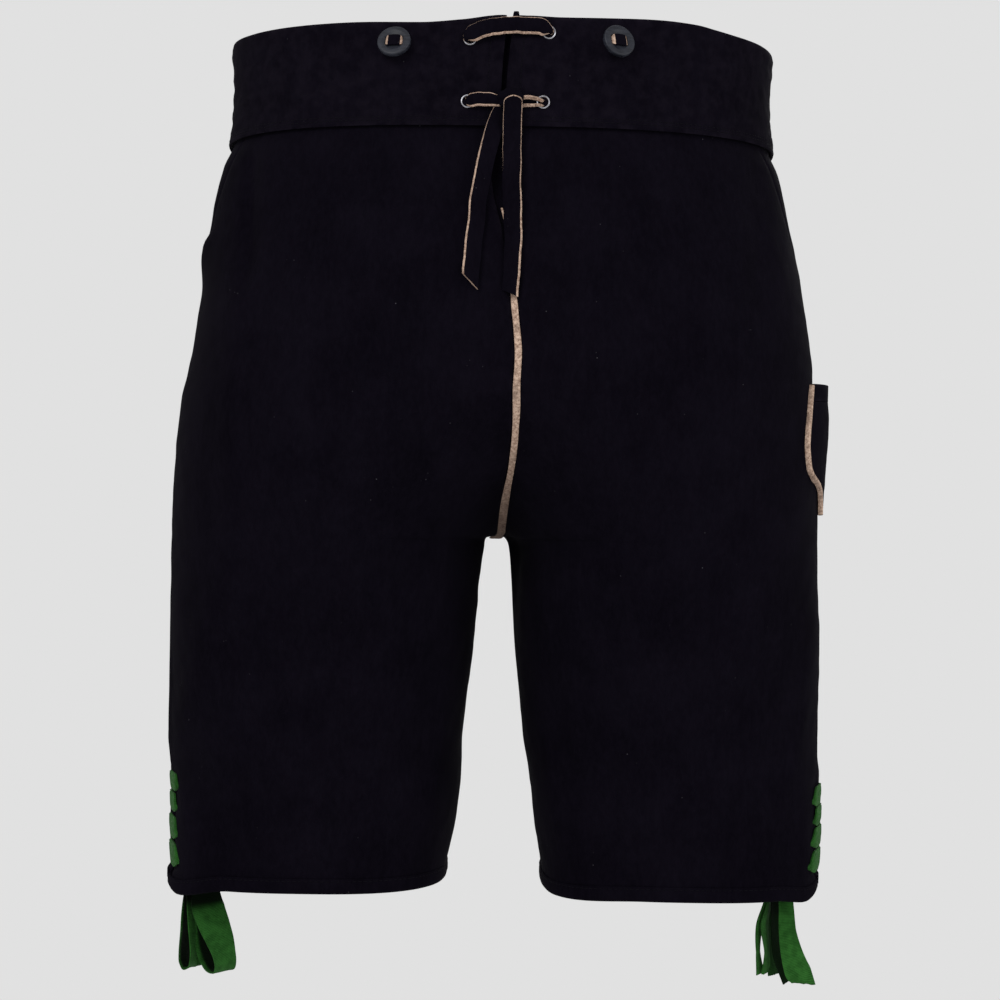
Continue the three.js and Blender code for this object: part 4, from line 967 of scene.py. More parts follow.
def laceTail(label, width, edgesAt):
    tail = tails[label]
    places = []
    for x, z, lift in tail["stations"]:
        point, out = centreSpot(x - float(drift(z)), z)
        places.append(point + out * lift)
    length = runLength(places)[-1]
    start = (1 - np.cos(np.linspace(0, math.pi / 2, 12))) * 6 / length
    share = np.concatenate([start, np.linspace(start[-1], 1, 78)[1:]])
    route, at = smoothRoute(places, share)
    turn = mix(*tail["turn"], smooth((share - 0.15) / 0.4))
    facing = np.stack([np.sin(turn), np.cos(turn), 0 * turn], axis=1)
    out, across, tangent = frameAlong(route, facing)
    outlines = []
    for distance, t in zip(at, share):
        low, high = edgesAt(t)
        half = width / 2 * (1 - tail["taper"] * smooth((t - 0.5) * 2))
        top = tail["roundTop"]
        if distance < top:  # the rounded end of the thong, its cut edge an arch over the top
            rim = 1.2
            half *= max(0.02, 1 - (1 - distance / top) ** 2.5) ** 0.4
            inside = max(0, 1 - min(1, (top - distance) / (top - rim)) ** 2.5) ** 0.4
            low = high = half - (width / 2 - mix(rim, low, smooth(distance / top))) * inside
        outlines.append(laceOutline(2 * half, lace["thick"], low, high))
    outlines = np.array(outlines)
    outlines[..., 1] += 0.2 * ripple(route, 22, 35)[:, None] + 0.07 * ripple(route, 6, 36)[:, None]
    outlines[..., 0] += 0.25 * ripple(route, 30, 37)[:, None] * smooth(at / 30)[:, None]
    # the slanting cut at the end: the points draw back along the tail, more towards one side
    back = tail["endCut"] * smooth((at - at[-1] + 14) / 14)[:, None] * (0.5 - outlines[..., 1] / width)
    moved = route[:, None] - tangent[:, None] * back[..., None]
    piece = sweepPiece("laceTail" + label, route, out, across, outlines, [suede, naturalEdge], laceSlots, 1)
    points = moved + out[:, None] * outlines[..., :1] + across[:, None] * outlines[..., 1:2]
    piece.data.vertices.foreach_set("co", (points.reshape(-1, 3) * mm).ravel())
    piece.data.update()
    dress(piece, "suede", "lace_tail_" + label.lower())


# how much of each edge shows pale along a tail: on its low side, then on its high side
laceTail("Right", lace["width"] + 0.6,
         lambda t: (0.3 - 0.28 * smooth((t - 0.2) * 3), 0.45 + 0.5 * smooth((t - 0.4) * 2)))
laceTail("Left", lace["width"] - 0.2,
         lambda t: (0.04 + 0.72 * smooth((t - 0.12) * 4.5) + 0.1 * math.sin(9 * t), 0.0))
print("lace made")

# Buttons and eyelets. A button's rings are how far in and how far up each step of its face goes.
buttonCut = {"radius": 9.9, "thick": 2.8, "standoff": 2.0, "slotAt": 4.1, "slotWide": 2.5, "slotHigh": 6.4,
             "slotCorner": 1.1, "slotDeep": 12, "slotUp": 3.5, "easing": 0.55,
             "face": [(0.9, 0.3), (1.4, 0), (1.0, -0.1), (1.0, -0.6), (1.2, -0.15)], "behind": [(1.2, 0), (1.0, 0.3)]}
eyeletCut = {"radius": 3.1, "deep": 2.6, "down": 0.9, "wall": 0.4, "easing": 0.12,
             "lip": [(1.06, 0.3), (1.07, 0.1), (1.07, -0.1), (1.04, -0.3)]}


def standing(point, out):
    across = unit(np.cross([0, 0, 1], out))
    up = np.cross(out, across)
    matrix = Matrix.Identity(4)
    for k, column in enumerate((across, up, out)):
        for i in range(3):
            matrix[i][k] = column[i]
    for i in range(3):
        matrix[i][3] = point[i] * mm
    return matrix


def editing(piece):
    makeActive(piece)
    bpy.ops.object.mode_set(mode="EDIT")
    bpy.ops.mesh.select_all(action="DESELECT")


def pick(piece, mode, test):
    bpy.ops.mesh.select_mode(type=mode)
    bpy.ops.mesh.select_all(action="DESELECT")
    shape = bmesh.from_edit_mesh(piece.data)
    for part in {"FACE": shape.faces, "EDGE": shape.edges, "VERT": shape.verts}[mode]:
        if test(part):
            part.select_set(True)
    shape.select_flush_mode()
    bmesh.update_edit_mesh(piece.data)


def finish(piece, material, angle):
    piece.data.materials.clear()
    piece.data.materials.append(material)
    smoothShade(piece, angle)


def modelButton():
    cut = buttonCut
    bpy.ops.mesh.primitive_cylinder_add(vertices=72, radius=cut["radius"] * mm, depth=cut["thick"] * mm,
                                        location=(0, 0, (cut["standoff"] + cut["thick"] / 2) * mm))
    button = bpy.context.object
    bpy.ops.object.transform_apply(location=True, rotation=False, scale=False)
    editing(button)
    for way, steps in ((1, cut["face"]), (-1, cut["behind"])):
        pick(button, "FACE", lambda face: way * face.normal.z > 0.9)
        for inwards, up in steps:
            bpy.ops.mesh.inset(thickness=inwards * mm, depth=up * mm)
    bpy.ops.object.mode_set(mode="OBJECT")
    addBevel(button, cut["easing"], 3, 35)
    for way in (-1, 1):
        bpy.ops.mesh.primitive_cube_add(size=1, location=(way * cut["slotAt"] * mm, 0, cut["slotUp"] * mm))
        slot = bpy.context.object
        slot.scale = (cut["slotWide"] * mm, cut["slotHigh"] * mm, cut["slotDeep"] * mm)
        bpy.ops.object.transform_apply(location=True, rotation=False, scale=True)
        editing(slot)
        pick(slot, "EDGE", lambda edge: abs(edge.verts[0].co.z - edge.verts[1].co.z) > 5 * mm)
        bpy.ops.mesh.bevel(offset=cut["slotCorner"] * mm, segments=4)
        bpy.ops.object.mode_set(mode="OBJECT")
        cutter = button.modifiers.new("slot", "BOOLEAN")
        cutter.operation = "DIFFERENCE"
        cutter.object = slot
        applyAll(button)
        bpy.data.objects.remove(slot)
    finish(button, horn, 35)
    return button


def modelEyelet():
    cut = eyeletCut
    bpy.ops.mesh.primitive_cylinder_add(vertices=48, radius=cut["radius"] * mm, depth=cut["deep"] * mm,
                                        end_fill_type="NOTHING", location=(0, 0, -cut["down"] * mm))
    eyelet = bpy.context.object
    bpy.ops.object.transform_apply(location=True, rotation=False, scale=False)
    editing(eyelet)
    pick(eyelet, "VERT", lambda vert: vert.co.z > 0)
    for grow, climb in cut["lip"]:
        bpy.ops.mesh.extrude_region_move(TRANSFORM_OT_translate={"value": (0, 0, climb * mm)})
        bpy.ops.transform.resize(value=(grow, grow, 1), center_override=(0, 0, 0))
    bpy.ops.object.mode_set(mode="OBJECT")
    addWall(eyelet, cut["wall"], 0)
    addBevel(eyelet, cut["easing"], 2, 50)
    applyAll(eyelet)
    finish(eyelet, ringMetal, 60)
    return eyelet


def placedCopy(model, name, matrix):
    copy = bpy.data.objects.new(name, model.data.copy())
    copy.data.name = name
    copy.data.transform(matrix)
    bpy.context.collection.objects.link(copy)
    return copy


# half of a tie's course over the bridge between the slots: out from the middle, and up
tieCourse = [(4.9, 0.7), (4.8, 2.6), (4.35, 3.9), (3.5, 4.75), (2.2, 5.15), (0, 5.3)]
tieHalf = {"bridge": 3.6, "slot": 2.5}


def tieOn(name, matrix):
    # the leather thong that holds a button, its pale flesh side showing where it dives into the slots
    route = [(-x, 0, z) for x, z in tieCourse] + [(x, 0, z) for x, z in tieCourse[-2::-1]]
    route, _ = smoothRoute(route, 34)
    out, across, _ = frameAlong(route, np.array([0, 0, 1.0]) + route * (0.35, 0, 0))
    outlines, slots = [], []
    for x in np.abs(route[:, 0]):
        w = mix(tieHalf["bridge"], tieHalf["slot"], smooth((x - 3.4) / 1.3))
        outlines.append([(0.62, -w + 0.3), (0.72, 0), (0.62, w - 0.3), (0.3, w), (-0.5, w), (-0.62, w - 0.2),
                         (-0.62, -w + 0.2), (-0.5, -w), (0.3, -w)])
        slots.append([1 if x > 3.45 and k < 2 else 0 for k in range(9)])
    tie = sweepPiece(name, route, out, across, outlines, [suede, naturalEdge], slots, 0)
    tie.data.transform(matrix)
    return tie


buttonModel = modelButton()
eyeletModel = modelEyelet()
flapLift = bandOut + 2.5
buttonPlaces = {  # the line it stands on, its place and height there, what it stands on, and its lean
    "back_left": (backLine, 1, 63.4, -13.9, bandOut, (0, 0, 0.42)),
    "back_right": (backLine, 1, -65.4, -11.0, bandOut, (-0.3, 0, 0.34)),
    "front_left": (frontLine, -1, 92, -15, bandOut, (0, 0, 0)),
    "front_right": (frontLine, -1, -92, -15, bandOut, (0, 0, 0)),
    "waist": (frontLine, -1, -6, -15, 2 * bandOut, (0, 0, 0)),
    "flap_left": (frontLine, -1, 78, -47, flapLift, (0, 0, 0)),
    "flap_right": (frontLine, -1, -78, -47, flapLift, (0, 0, 0)),
}
for node, (line, turn, a, z, lift, tip) in buttonPlaces.items():
    point, out, fold = spotOn(line, turn, a, z)
    stand = standing(point + out * (lift + fold + 3.6 * np.linalg.norm(tip)), unit(out + tip))
    stem = node.title().replace("_", "")
    dress(placedCopy(buttonModel, "button" + stem, stand), "horn", "button_" + node)
    dress(tieOn("tie" + stem, stand), "suede", "tie_" + node)
for row, (leftA, leftZ, rightA, rightZ) in (("top", lace["rowTop"]), ("low", lace["rowLow"])):
    for label, a, z in (("left", leftA, leftZ), ("right", rightA, rightZ)):
        stand = standing(*onBand(a, z, 0.3))
        dress(placedCopy(eyeletModel, f"eyelet{row.title()}{label.title()}", stand), "blackened_metal",
              f"eyelet_{row}_{label}")
for model in (buttonModel, eyeletModel):
    bpy.data.objects.remove(model)
print("buttons and eyelets made")


def patchPiece(name, line, turn, levels, columns, liftAt, thick, shape, wearAndLight=0.5):
    # cloth lying on the form: columns(z) gives signed lengths, liftAt(z, a) its underside's height over the form
    base = np.array([line(z, columns(z)) for z in levels])
    out = gridNormals(base, turn)
    a = np.array([columns(z) for z in levels])
    z = np.repeat(np.array(levels, dtype=float)[:, None], a.shape[1], axis=1)
    lift = liftAt(z, a) + thick + shape(base, z, a) + foldHeight(base, folds)
    grid = base + out * lift[..., None]
    return grid, out, clothPiece(name, grid, turn, thick, wearAndLight * rimRub(*grid.shape[:2]), min(0.5, thick * 0.3))


# The cloth behind the slit, and the small fold of it that stands up above the band.
gussetCut = {"half": 17.0, "top": 3.6, "foot": -118.0, "thick": 1.3, "foldAt": -4.1, "foldHalf": 2.6, "foldRise": 4.4,
             "flat": (0.034, 0.124)}
gussetLevels = np.concatenate([stations(gussetCut["top"], -4, 0.7), stations(-7, gussetCut["foot"], 3.0)])
gussetColumns = np.unique(np.concatenate([np.linspace(-gussetCut["half"], gussetCut["half"], 18),
                                          np.linspace(-8.5, 0.5, 26)]))


def makeGusset():
    spots = [[centreSpot(a, z) for a in gussetColumns] for z in gussetLevels]
    base = np.array([[point for point, _ in row] for row in spots])
    out = unit(np.array([[way for _, way in row] for row in spots]))
    a = np.broadcast_to(gussetColumns, base.shape[:2])
    z = np.repeat(gussetLevels[:, None], len(gussetColumns), axis=1)
    fromFold = a - gussetCut["foldAt"]
    raised = smooth((gussetCut["foldHalf"] - np.abs(fromFold)) / 1.2) * smooth((z + 1) / 3)
    base[..., 2] += gussetCut["foldRise"] * raised
    pinch = 0.5 * np.exp(-(fromFold / 3.2) ** 2) * smooth((z + 30) / 30) - 0.35 * np.exp(-(a / 2.2) ** 2)
    lift = -cloth["leather"] - cloth["gap"] - 1.0 + 0.3 * ripple(base, 18, 41) + pinch
    grid = base + out * lift[..., None]
    piece = clothPiece("gussetCloth", grid, 1, gussetCut["thick"], 0.3 * rimRub(*grid.shape[:2]), 0.35)
    dress(piece, "suede", "gusset")
    return piece


gussetCloth = makeGusset()

# The pale welt in the seat seam: its half width by height, and where its painted shade starts, darker towards the
# crotch.
weltCut = {"proud": 1.3, "wornFrom": -238,
           "half": [(-109, 0.7), (-128, 0.8), (-150, 1.0), (-160, 1.5), (-168, 2.1), (-200, 2.1), (-240, 1.95),
                    (-258, 2.0), (-275, 2.5), (-290, 3.0), (-303, 3.9), (-305, 3.9)]}
weltHalf = easedTable(np.array(weltCut["half"], dtype=float))


def makeWelt():
    levels = [(z, 0) for z in np.concatenate([[-109.5], stations(-112, -275, 3), crotchLevels[:14]])]
    levels += [(-303.85, 0), (-303.8, 1), (-303.2, 1)]
    route = []
    for z, end in levels:
        point = formLine(1, z, np.array([end * ring(z)["length"]]))[0]
        point[0] -= float(form["inner"](z))
        route.append(point)
    route = np.array(route)
    across = np.tile([1.0, 0, 0], (len(route), 1))
    tangent = np.gradient(route, axis=0) * (0, 1, 1)
    out = np.cross(unit(tangent), across)
    if out[0][1] < 0:
        out = -out
    outlines = []
    for z, end in levels:
        w = float(weltHalf(z)) * (1 + 0.07 * math.sin(z / 13) + 0.05 * math.sin(z / 5.1 + 1)) * (0.6 if end else 1)
        slip = -0.9 * (1 - float(smooth((-118 - z) / 30)))
        top = weltCut["proud"] * mix(0.1, 0.8, smooth((-112 - z) / 26))
        stem = min(w - 0.1, 1.6)
        outlines.append([(-1.5, slip - stem), (0.12, slip - stem), (min(0.2, top - 0.1), slip - w),
                         (top - 0.3, slip - w * 0.97), (top, slip - w * 0.55), (top - 0.08, slip),
                         (top, slip + w * 0.55), (top - 0.3, slip + w * 0.97), (min(0.2, top - 0.1), slip + w),
                         (0.12, slip + stem), (-1.5, slip + stem)])
    welt = sweepPiece("seatWelt", route, out, across, outlines, [naturalEdge])
    # painted shade: darker down the welt below the given height, towards the crotch
    paint(welt, "worn", np.repeat(smooth((weltCut["wornFrom"] - route[:, 2]) / 60), 11))
    dress(welt, "natural_edge", "seat_welt")
    return welt


seatWelt = makeWelt()

# The bound hems, and the cloth behind each side slit.
hemCut = {"level": cloth["hem"] + cloth["bindingHeight"] / 2, "stitchUp": 7.9, "count": 190, "slitGap": 3.2}


def hemOutline(wave):
    # round the binding: down its outer face, under the panel's foot, up behind it, and back along the panel
    top = cloth["bindingHeight"] / 2
    proud, within = cloth["bindingProud"], -cloth["leather"] - cloth["bindingProud"] - 0.3
    face = proud + wave
    return [(face - 0.55, top), (face - 0.1, top - 0.35), (face, top - 1.0), (face - 0.22, top - 1.6),
            (face - 0.05, top - 2.3), (face + 0.12, 0.6), (face + 0.1, -top + 2.6), (proud - 0.25, -top + 1.3),
            (proud - 1.1, -top + 0.35), (-0.9, -top), (within + 1, -top + 0.4), (within, -top + 2.0), (within, 0.4),
            (within, top - 0.5), (within + 0.5, top), (-2.25, top - 0.1), (-2.25, -top + 3.2), (0.15, -top + 3.2),
            (0.15, top - 0.1)]


hems, hemFrames = {}, {}
for side, label in sides:
    z = hemCut["level"]
    r = ring(z)
    around = (r["length"] - 2 * hemCut["slitGap"]) * np.linspace(0, 1, hemCut["count"])
    s = (r["seam"] + hemCut["slitGap"] + around) % r["length"]
    route = formLine(side, z, s)
    near = [formLine(side, z, np.mod(s + step, r["length"])) for step in (-2.0, 2.0)]
    tangent = unit((near[1] - near[0]) * (1, 1, 0))
    out = unit(np.cross(tangent, [0, 0, 1]) * -side)
    up = np.tile([0, 0, 1.0], (len(route), 1))
    top = cloth["bindingHeight"] / 2
    wave = 0.18 * ripple(route, 21, 51) + 0.07 * ripple(route, 7, 52)
    outlines = np.array([hemOutline(w) for w in wave])
    lifted = cornerRise(side, route[:, 0])[:, None]
    outlines[..., 1] += lifted * mix(1, 0.45, (outlines[..., 1] + top) / (2 * top))
    hems[label] = sweepPiece("hemBinding" + label, route, out, up, outlines, [suede], angle=60)
    dress(hems[label], "suede", "hem_" + label.lower())
    stitchLine = route + out * (cloth["bindingProud"] - 0.2 + wave)[:, None]
    hemFrames[label] = (stitchLine + up * (hemCut["stitchUp"] - top + 0.55 * lifted), out)

tongueCut = {"half": 9, "foot": -512.5, "thick": 1.2, "behind": 1.7, "flat": (0.020, 0.061)}
tongues = {}
for side, label in sides:
    _, _, tongues[label] = patchPiece(
        "tongueCloth" + label, sideLine(side), side, stations(cloth["sideSlit"] + 2, tongueCut["foot"], 2.4),
        lambda z: np.linspace(-tongueCut["half"], tongueCut["half"], 15),
        lambda z, a: 0 * z - cloth["leather"] - cloth["gap"] - tongueCut["behind"], tongueCut["thick"],
        lambda base, z, a: 0.25 * ripple(base, 14, 53) + 1.9 * np.exp(-(a / 3.2) ** 2))
    dress(tongues[label], "suede", "tongue_" + label.lower())

# The green ribbon. Each crossing has its height, its breadth and how far it reaches over the back.
ribbonCut = {"thick": 1.0, "endThick": 0.64, "before": 16.0, "shade": 0.16, "columns": 17,
             "flat": {"Left": (0.016, 0.29), "Right": (0.016, 0.215)},
             "Left": [(-458.2, 11.0, 13.6), (-469.5, 11.6, 12.6), (-482.9, 13.6, 19.6), (-498, 14.4, 21.4)],
             "Right": [(-460.8, 12.2, 16), (-472.2, 11.7, 15), (-484, 12.6, 20.5), (-497.6, 13.6, 22.5)]}
places = np.linspace(-1, 1, ribbonCut["columns"])


def crossingRibbon(side, label, k):
    level, height, behind = ribbonCut[label][k]
    t = np.linspace(0, 1, 34)
    a = mix(-behind, ribbonCut["before"], t)
    route, out, halves = [], [], []
    for share, length in zip(t, a):
        opened = smooth(math.sin(math.pi * share) * 1.25)
        half = mix(0.09, 0.5, opened) * height
        slant = (height / 2 - half) * (-0.5 if share < 0.5 else 0.9)
        point, way, fold = spotOn(sideLine(side), side, length, level + slant)
        arch = math.sin(math.pi * share)
        dive = 1.2 * (smooth((0.07 - share) / 0.07) + smooth((share - 0.93) / 0.07))
        route.append(point + way * (0.62 + fold + 0.3 * arch - dive))
        out.append(way)
        halves.append(half)
    route, out = np.array(route), np.array(out)
    across = np.tile([0, 0, 1.0], (len(t), 1))
    draws = np.random.default_rng(60 + 4 * k + (side > 0))
    shift, pleats = draws.uniform(0, 6), draws.uniform(2.2, 3.2)
    outlines = []
    for share, half in zip(t, halves):
        opened = smooth(math.sin(math.pi * share) * 1.5)
        gather = mix(0.42, 0.16, opened) * np.sin(pleats * math.pi * places + shift)
        top = 0.5 * opened * (1 - np.abs(places) ** 2.2) + gather + ribbonCut["thick"] / 2
        front = [(height, half * place) for height, place in zip(top, places)]
        under = [(height - ribbonCut["thick"], half * place * 0.98) for height, place in zip(top[::-1], places[::-1])]
        outlines.append(front + under)
    ribbon = sweepPiece(f"sideRibbon{label}{k + 1}", route, out, across, outlines, [ribbonCloth], angle=70)
    paint(ribbon, "shade", np.full(len(ribbon.data.vertices), ribbonCut["shade"]))
    dress(ribbon, "green_ribbon", f"side_lace_{label.lower()}_{k + 1}")
    return ribbon


def hangingRibbon(name, stationsOf, fray, level, paintedShade, seed):
    # stations: x, y, z, width, and the turn of its broad face in degrees (0 faces backwards)
    values = np.array(stationsOf, dtype=float)
    route, at = smoothRoute(values[:, :3], 10 * len(values))
    knots = runLength(values[:, :3])
    knots *= at[-1] / knots[-1]
    width = np.interp(at, knots, values[:, 3])
    turn = np.radians(np.interp(at, knots, values[:, 4]))
    tangent = unit(np.gradient(route, axis=0))
    across = np.stack([np.cos(turn), np.sin(turn), 0 * turn], axis=1)
    across = unit(across - tangent * (across * tangent).sum(axis=1, keepdims=True))
    out = np.cross(across, tangent)
    draws = np.random.default_rng(seed)
    jag = draws.uniform(0, fray, len(places))
    bow = draws.uniform(-0.5, 0.5)
    half = ribbonCut["endThick"] / 2
    outlines = []
    for distance, wide in zip(at, width):
        curl = 0.55 * bow * (places ** 2 - 0.4) + 0.16 * np.sin(3.1 * places + distance / 7 + seed)
        front = [(lift + half, wide / 2 * place) for lift, place in zip(curl, places)]
        outlines.append(front + [(lift - 2 * half, place) for lift, place in front[::-1]])
    ribbon = sweepPiece(name, route, out, across, outlines, [ribbonCloth], angle=70)
    # painted shade: darker under the hem, inside a loop, and all over where the ribbon hangs behind the others
    whole, under, inside = paintedShade
    edgewise = np.concatenate([places, places[::-1]])[None]
    dark = whole + under * smooth((route[:, 2:] + 539) / 6)
    dark = dark + inside * smooth(tangent[:, 2:] * 3) * smooth((0.86 - edgewise) / 0.35)
    paint(ribbon, "shade", np.clip(dark, 0, 1))
    if fray:
        fraying(ribbon, tangent[-1], np.concatenate([jag, jag[::-1]]) * mm, level)
    return ribbon


def fraying(ribbon, onwards, ragged, level):
    # the last rows of points drawn out unevenly, and to one level where that is given
    size = len(ragged)
    points = np.empty(len(ribbon.data.vertices) * 3)
    ribbon.data.vertices.foreach_get("co", points)
    points = points.reshape(-1, 3)
    slant = 0 if level is None else level * mm - points[-size:, 2]
    for back, share in ((1, 1.0), (2, 0.8), (3, 0.6), (4, 0.4), (5, 0.25), (6, 0.12)):
        rows = slice(len(points) - back * size, len(points) - (back - 1) * size)
        points[rows] += onwards * (ragged * max(0, share * 1.8 - 0.8))[:, None]
        points[rows, 2] += slant * share
    ribbon.data.vertices.foreach_set("co", points.ravel())
    ribbon.data.update()


# each end's stations, how ragged its cut is, the level it is cut to, and how much painted shade it gets all over,
# above and inside
ribbonEnds = {
    "Left": [
        # the wide loop, down its front and up behind
        ([(181, 28, -505, 9, 10), (178.8, 33, -519, 15, 10), (177.2, 37, -529, 18, 12), (175.2, 40, -537, 20.6, 15),
          (171, 42.5, -547, 20, 22), (167, 44, -556.5, 18.6, 32), (164.5, 44.3, -564.5, 17, 42),
          (163.6, 43, -571.5, 16.5, 47), (165.4, 39.5, -576.6, 16.5, 48), (170.2, 36, -575.6, 17, 48),
          (175.6, 33, -566, 17.5, 46), (177.6, 32, -556, 17, 42), (178.8, 31, -545, 15, 34),
          (180.2, 29.5, -530, 11, 25), (181.5, 28.5, -514, 8, 15)], 0.0, None, (0.16, 0.9, 1.0)),
        # the narrow loop beside it, seen nearly edge on
        ([(186, 27, -506, 8, 40), (187.6, 31, -522, 8, 48), (186.4, 34, -534, 9, 57), (184.8, 36.5, -548, 11, 66),
          (183.6, 38, -558, 12, 70), (183.2, 38, -566, 12.5, 71), (184.4, 36, -573.2, 12, 69),
          (187.4, 33.5, -575.8, 12, 65), (190.2, 31, -572.6, 12, 62), (190.9, 30, -566, 12, 62),
          (190.4, 29.5, -553, 11, 60), (189.8, 28.5, -539, 9, 54), (188, 27.5, -525, 8, 46),
          (185.5, 26.5, -509, 7, 40)], 0.0, None, (0.2, 0.8, 1.0)),
        # one free end between the loops
        ([(183.5, 25, -507, 7, 30), (183.8, 28, -526, 8, 44), (181.8, 30.5, -545, 9, 52), (180.2, 32, -562, 9, 55),
          (179.6, 32, -574, 9, 56)], 0.5, None, (0.35, 0.6, 0)),
    ],
    "Right": [
        ([(-182, 28, -505, 8, 8), (-184.6, 35, -520, 9, 6), (-185.5, 38, -531, 9.4, 4), (-186.3, 40, -546, 10.9, 2),
          (-188.9, 41, -559, 13.6, 0), (-192.6, 41, -570, 16.4, -4), (-196.6, 40, -577.6, 16.6, -8)],
         1.0, -578.2, (0, 0.1, 0)),
        ([(-180, 26, -506, 7, 20), (-180.2, 29, -526, 7.5, 30), (-179.9, 30.5, -545, 8.5, 40),
          (-182, 31.5, -562, 9.5, 36), (-188.6, 31, -578.6, 9.5, 24)], 0.7, None, (0.95, 0.1, 0)),
        ([(-179, 24, -507, 7, 40), (-177.4, 26, -527, 8, 48), (-176.8, 27, -548, 9, 50), (-178.2, 27, -562, 9.5, 46),
          (-179.6, 27, -575.5, 9.5, 40)], 0.8, None, (0.55, 0.3, 0)),
        ([(-178.6, 27, -508, 5, 60), (-175.8, 31, -530, 8, 60), (-173, 33, -543, 11.5, 60),
          (-174.4, 33.5, -560, 7, 60), (-174.2, 32, -573.6, 9, 50)], 0.6, None, (0.2, 0.3, 0)),
        ([(-178.4, 29, -508, 5, 40), (-174.2, 32, -529, 7, 50), (-169.9, 34, -543, 9.5, 56),
          (-168.9, 34, -560, 5.2, 60), (-170.4, 33, -573.8, 7.5, 46)], 0.6, None, (0.12, 0.3, 0)),
    ],
}
ribbonLoops, crossings = {}, {}
for side, label in sides:
    crossings[label] = [crossingRibbon(side, label, k) for k in range(4)]
    ends = [hangingRibbon(f"ribbonEnd{label}{k + 1}", *each, 70 + 5 * k + (side > 0))
            for k, each in enumerate(ribbonEnds[label])]
    ribbonLoops[label] = joinPieces("ribbonEnds" + label, ends)
    dress(ribbonLoops[label], "green_ribbon", "ribbon_ends_" + label.lower())
print("hems and ribbons made")

# The drop front, which lies over the band's lap.
flapCut = {"top": -33.0, "foot": -172.0, "half": 94.0, "thick": 1.8, "stitchIn": (3.0, 5.4), "flat": (0.188, 0.139)}


def flapHalf(z):
    v = (flapCut["top"] - z) / (flapCut["top"] - flapCut["foot"])
    corner = np.clip((v - 0.82) / 0.18, 0, 1)
    return flapCut["half"] * (1 - 0.05 * v) - 30 * (1 - np.sqrt(1 - corner ** 2))


def flapLiftAt(z, a):
    overBand = smooth((z + cloth["bandHeight"] + 16) / 15)
    overLap = smooth((50 - np.abs(a)) / 14)
    return cloth["gap"] + 0.4 + overBand * (cloth["bandThick"] + cloth["gap"]) * (1 + overLap)


def flapShape(base, z, a):
    half = np.vectorize(flapHalf)(z)
    rim = np.minimum(np.minimum(half - np.abs(a), flapCut["top"] - z), z - flapCut["foot"])
    groove = 0.25 * sum(np.exp(-((rim - row) / 0.8) ** 2) for row in flapCut["stitchIn"])
    return (0.45 * ripple(base, 44, 61) + 0.15 * ripple(base, 15, 62)) * smooth(rim / 12) - groove


shares = np.unique(np.concatenate([np.linspace(-1, 1, 66), [-0.985, -0.965, -0.945, 0.945, 0.965, 0.985]]))
flapLevels = np.concatenate([stations(flapCut["top"], -160, 2.6, -36, -38.4), stations(-161.2, flapCut["foot"], 0.9)])
flapGrid, flapOut, dropFront = patchPiece("dropFront", frontLine, -1, flapLevels, lambda z: shares * flapHalf(z),
                                          flapLiftAt, flapCut["thick"], flapShape, 0.7)
dress(dropFront, "suede", "drop_front")

# The slanting side pockets' mouths: how far before the side seam each welt starts, above and below.
mouthCut = {"top": -cloth["bandHeight"] - 3, "foot": -148.0, "startAbove": 96, "startBelow": 40, "wide": 12,
            "thick": 2.0}


def downMouth(z):
    return (mouthCut["top"] - z) / (mouthCut["top"] - mouthCut["foot"])


def mouthStart(z):
    return mix(mouthCut["startAbove"], mouthCut["startBelow"], downMouth(z))


def mouthLift(z, a):
    # sunk in the panel, and a little less so in its lower half, towards the seam
    v = downMouth(z)
    u = (a - mouthStart(z)) / mouthCut["wide"]
    return -0.8 + 0.35 * smooth((v - 0.4) * 3) * smooth((1 - v) * 4) * (1 - 0.6 * u)


for side, label in sides:
    _, _, welt = patchPiece(
        "pocketWelt" + label, sideLine(side), side, stations(mouthCut["top"], mouthCut["foot"], 2.0),
        lambda z: mouthStart(z) + np.linspace(0, mouthCut["wide"], 12), mouthLift, mouthCut["thick"],
        lambda base, z, a: 0.12 * ripple(base, 12, 63))
    dress(welt, "suede", "pocket_welt_" + label.lower())

# The knife pocket on the right leg. Its rear edge is measured back from the side seam, by height.
knifeCut = {"top": -205.0, "foot": -286.5, "bandFoot": -216.2, "half": 24.0, "footHalf": 5, "middle": 13.0,
            "thick": 1.6, "weltHalf": 1.55, "behindWelt": 2.1,
            "bandFlat": (0.071, 0.0112), "bodyFlat": (0.089, 0.072), "bodyArea": 0.0047}
rearEdge = easedTable(np.array([(-205, -30), (-215.5, -36), (-226, -43.5), (-236, -50), (-246, -53), (-256.6, -51),
                                (-262.8, -43), (-267.7, -25), (-272, -12), (-278, -7), (-288, -9)], dtype=float))
bulge = easedTable(np.array([(-205, 8.4), (-225, 7.8), (-237, 6.4), (-252, 4.4), (-270, 2.7), (-284, 1.7),
                             (-291, 1.2)], dtype=float))


def pocketHalf(z):
    share = (knifeCut["top"] - z) / (knifeCut["top"] - knifeCut["foot"])
    return mix(knifeCut["half"], knifeCut["footHalf"], smooth((share - 0.58) / 0.44))


def pocketReach(z):
    return rearEdge(z) + knifeCut["behindWelt"], knifeCut["middle"] + pocketHalf(z)


def pocketColumns(z):
    return np.linspace(*pocketReach(float(z)), 60)


def pocketLift(z, a):
    rear, front = pocketReach(z)
    across = np.clip((2 * a - rear - front) / (front - rear), -1, 1)
    return cloth["gap"] + 0.05 + bulge(z) * (1 - np.abs(across) ** 2.6)


def pocketShape(base, z, a):
    return 0.14 * ripple(base, 14, 64)


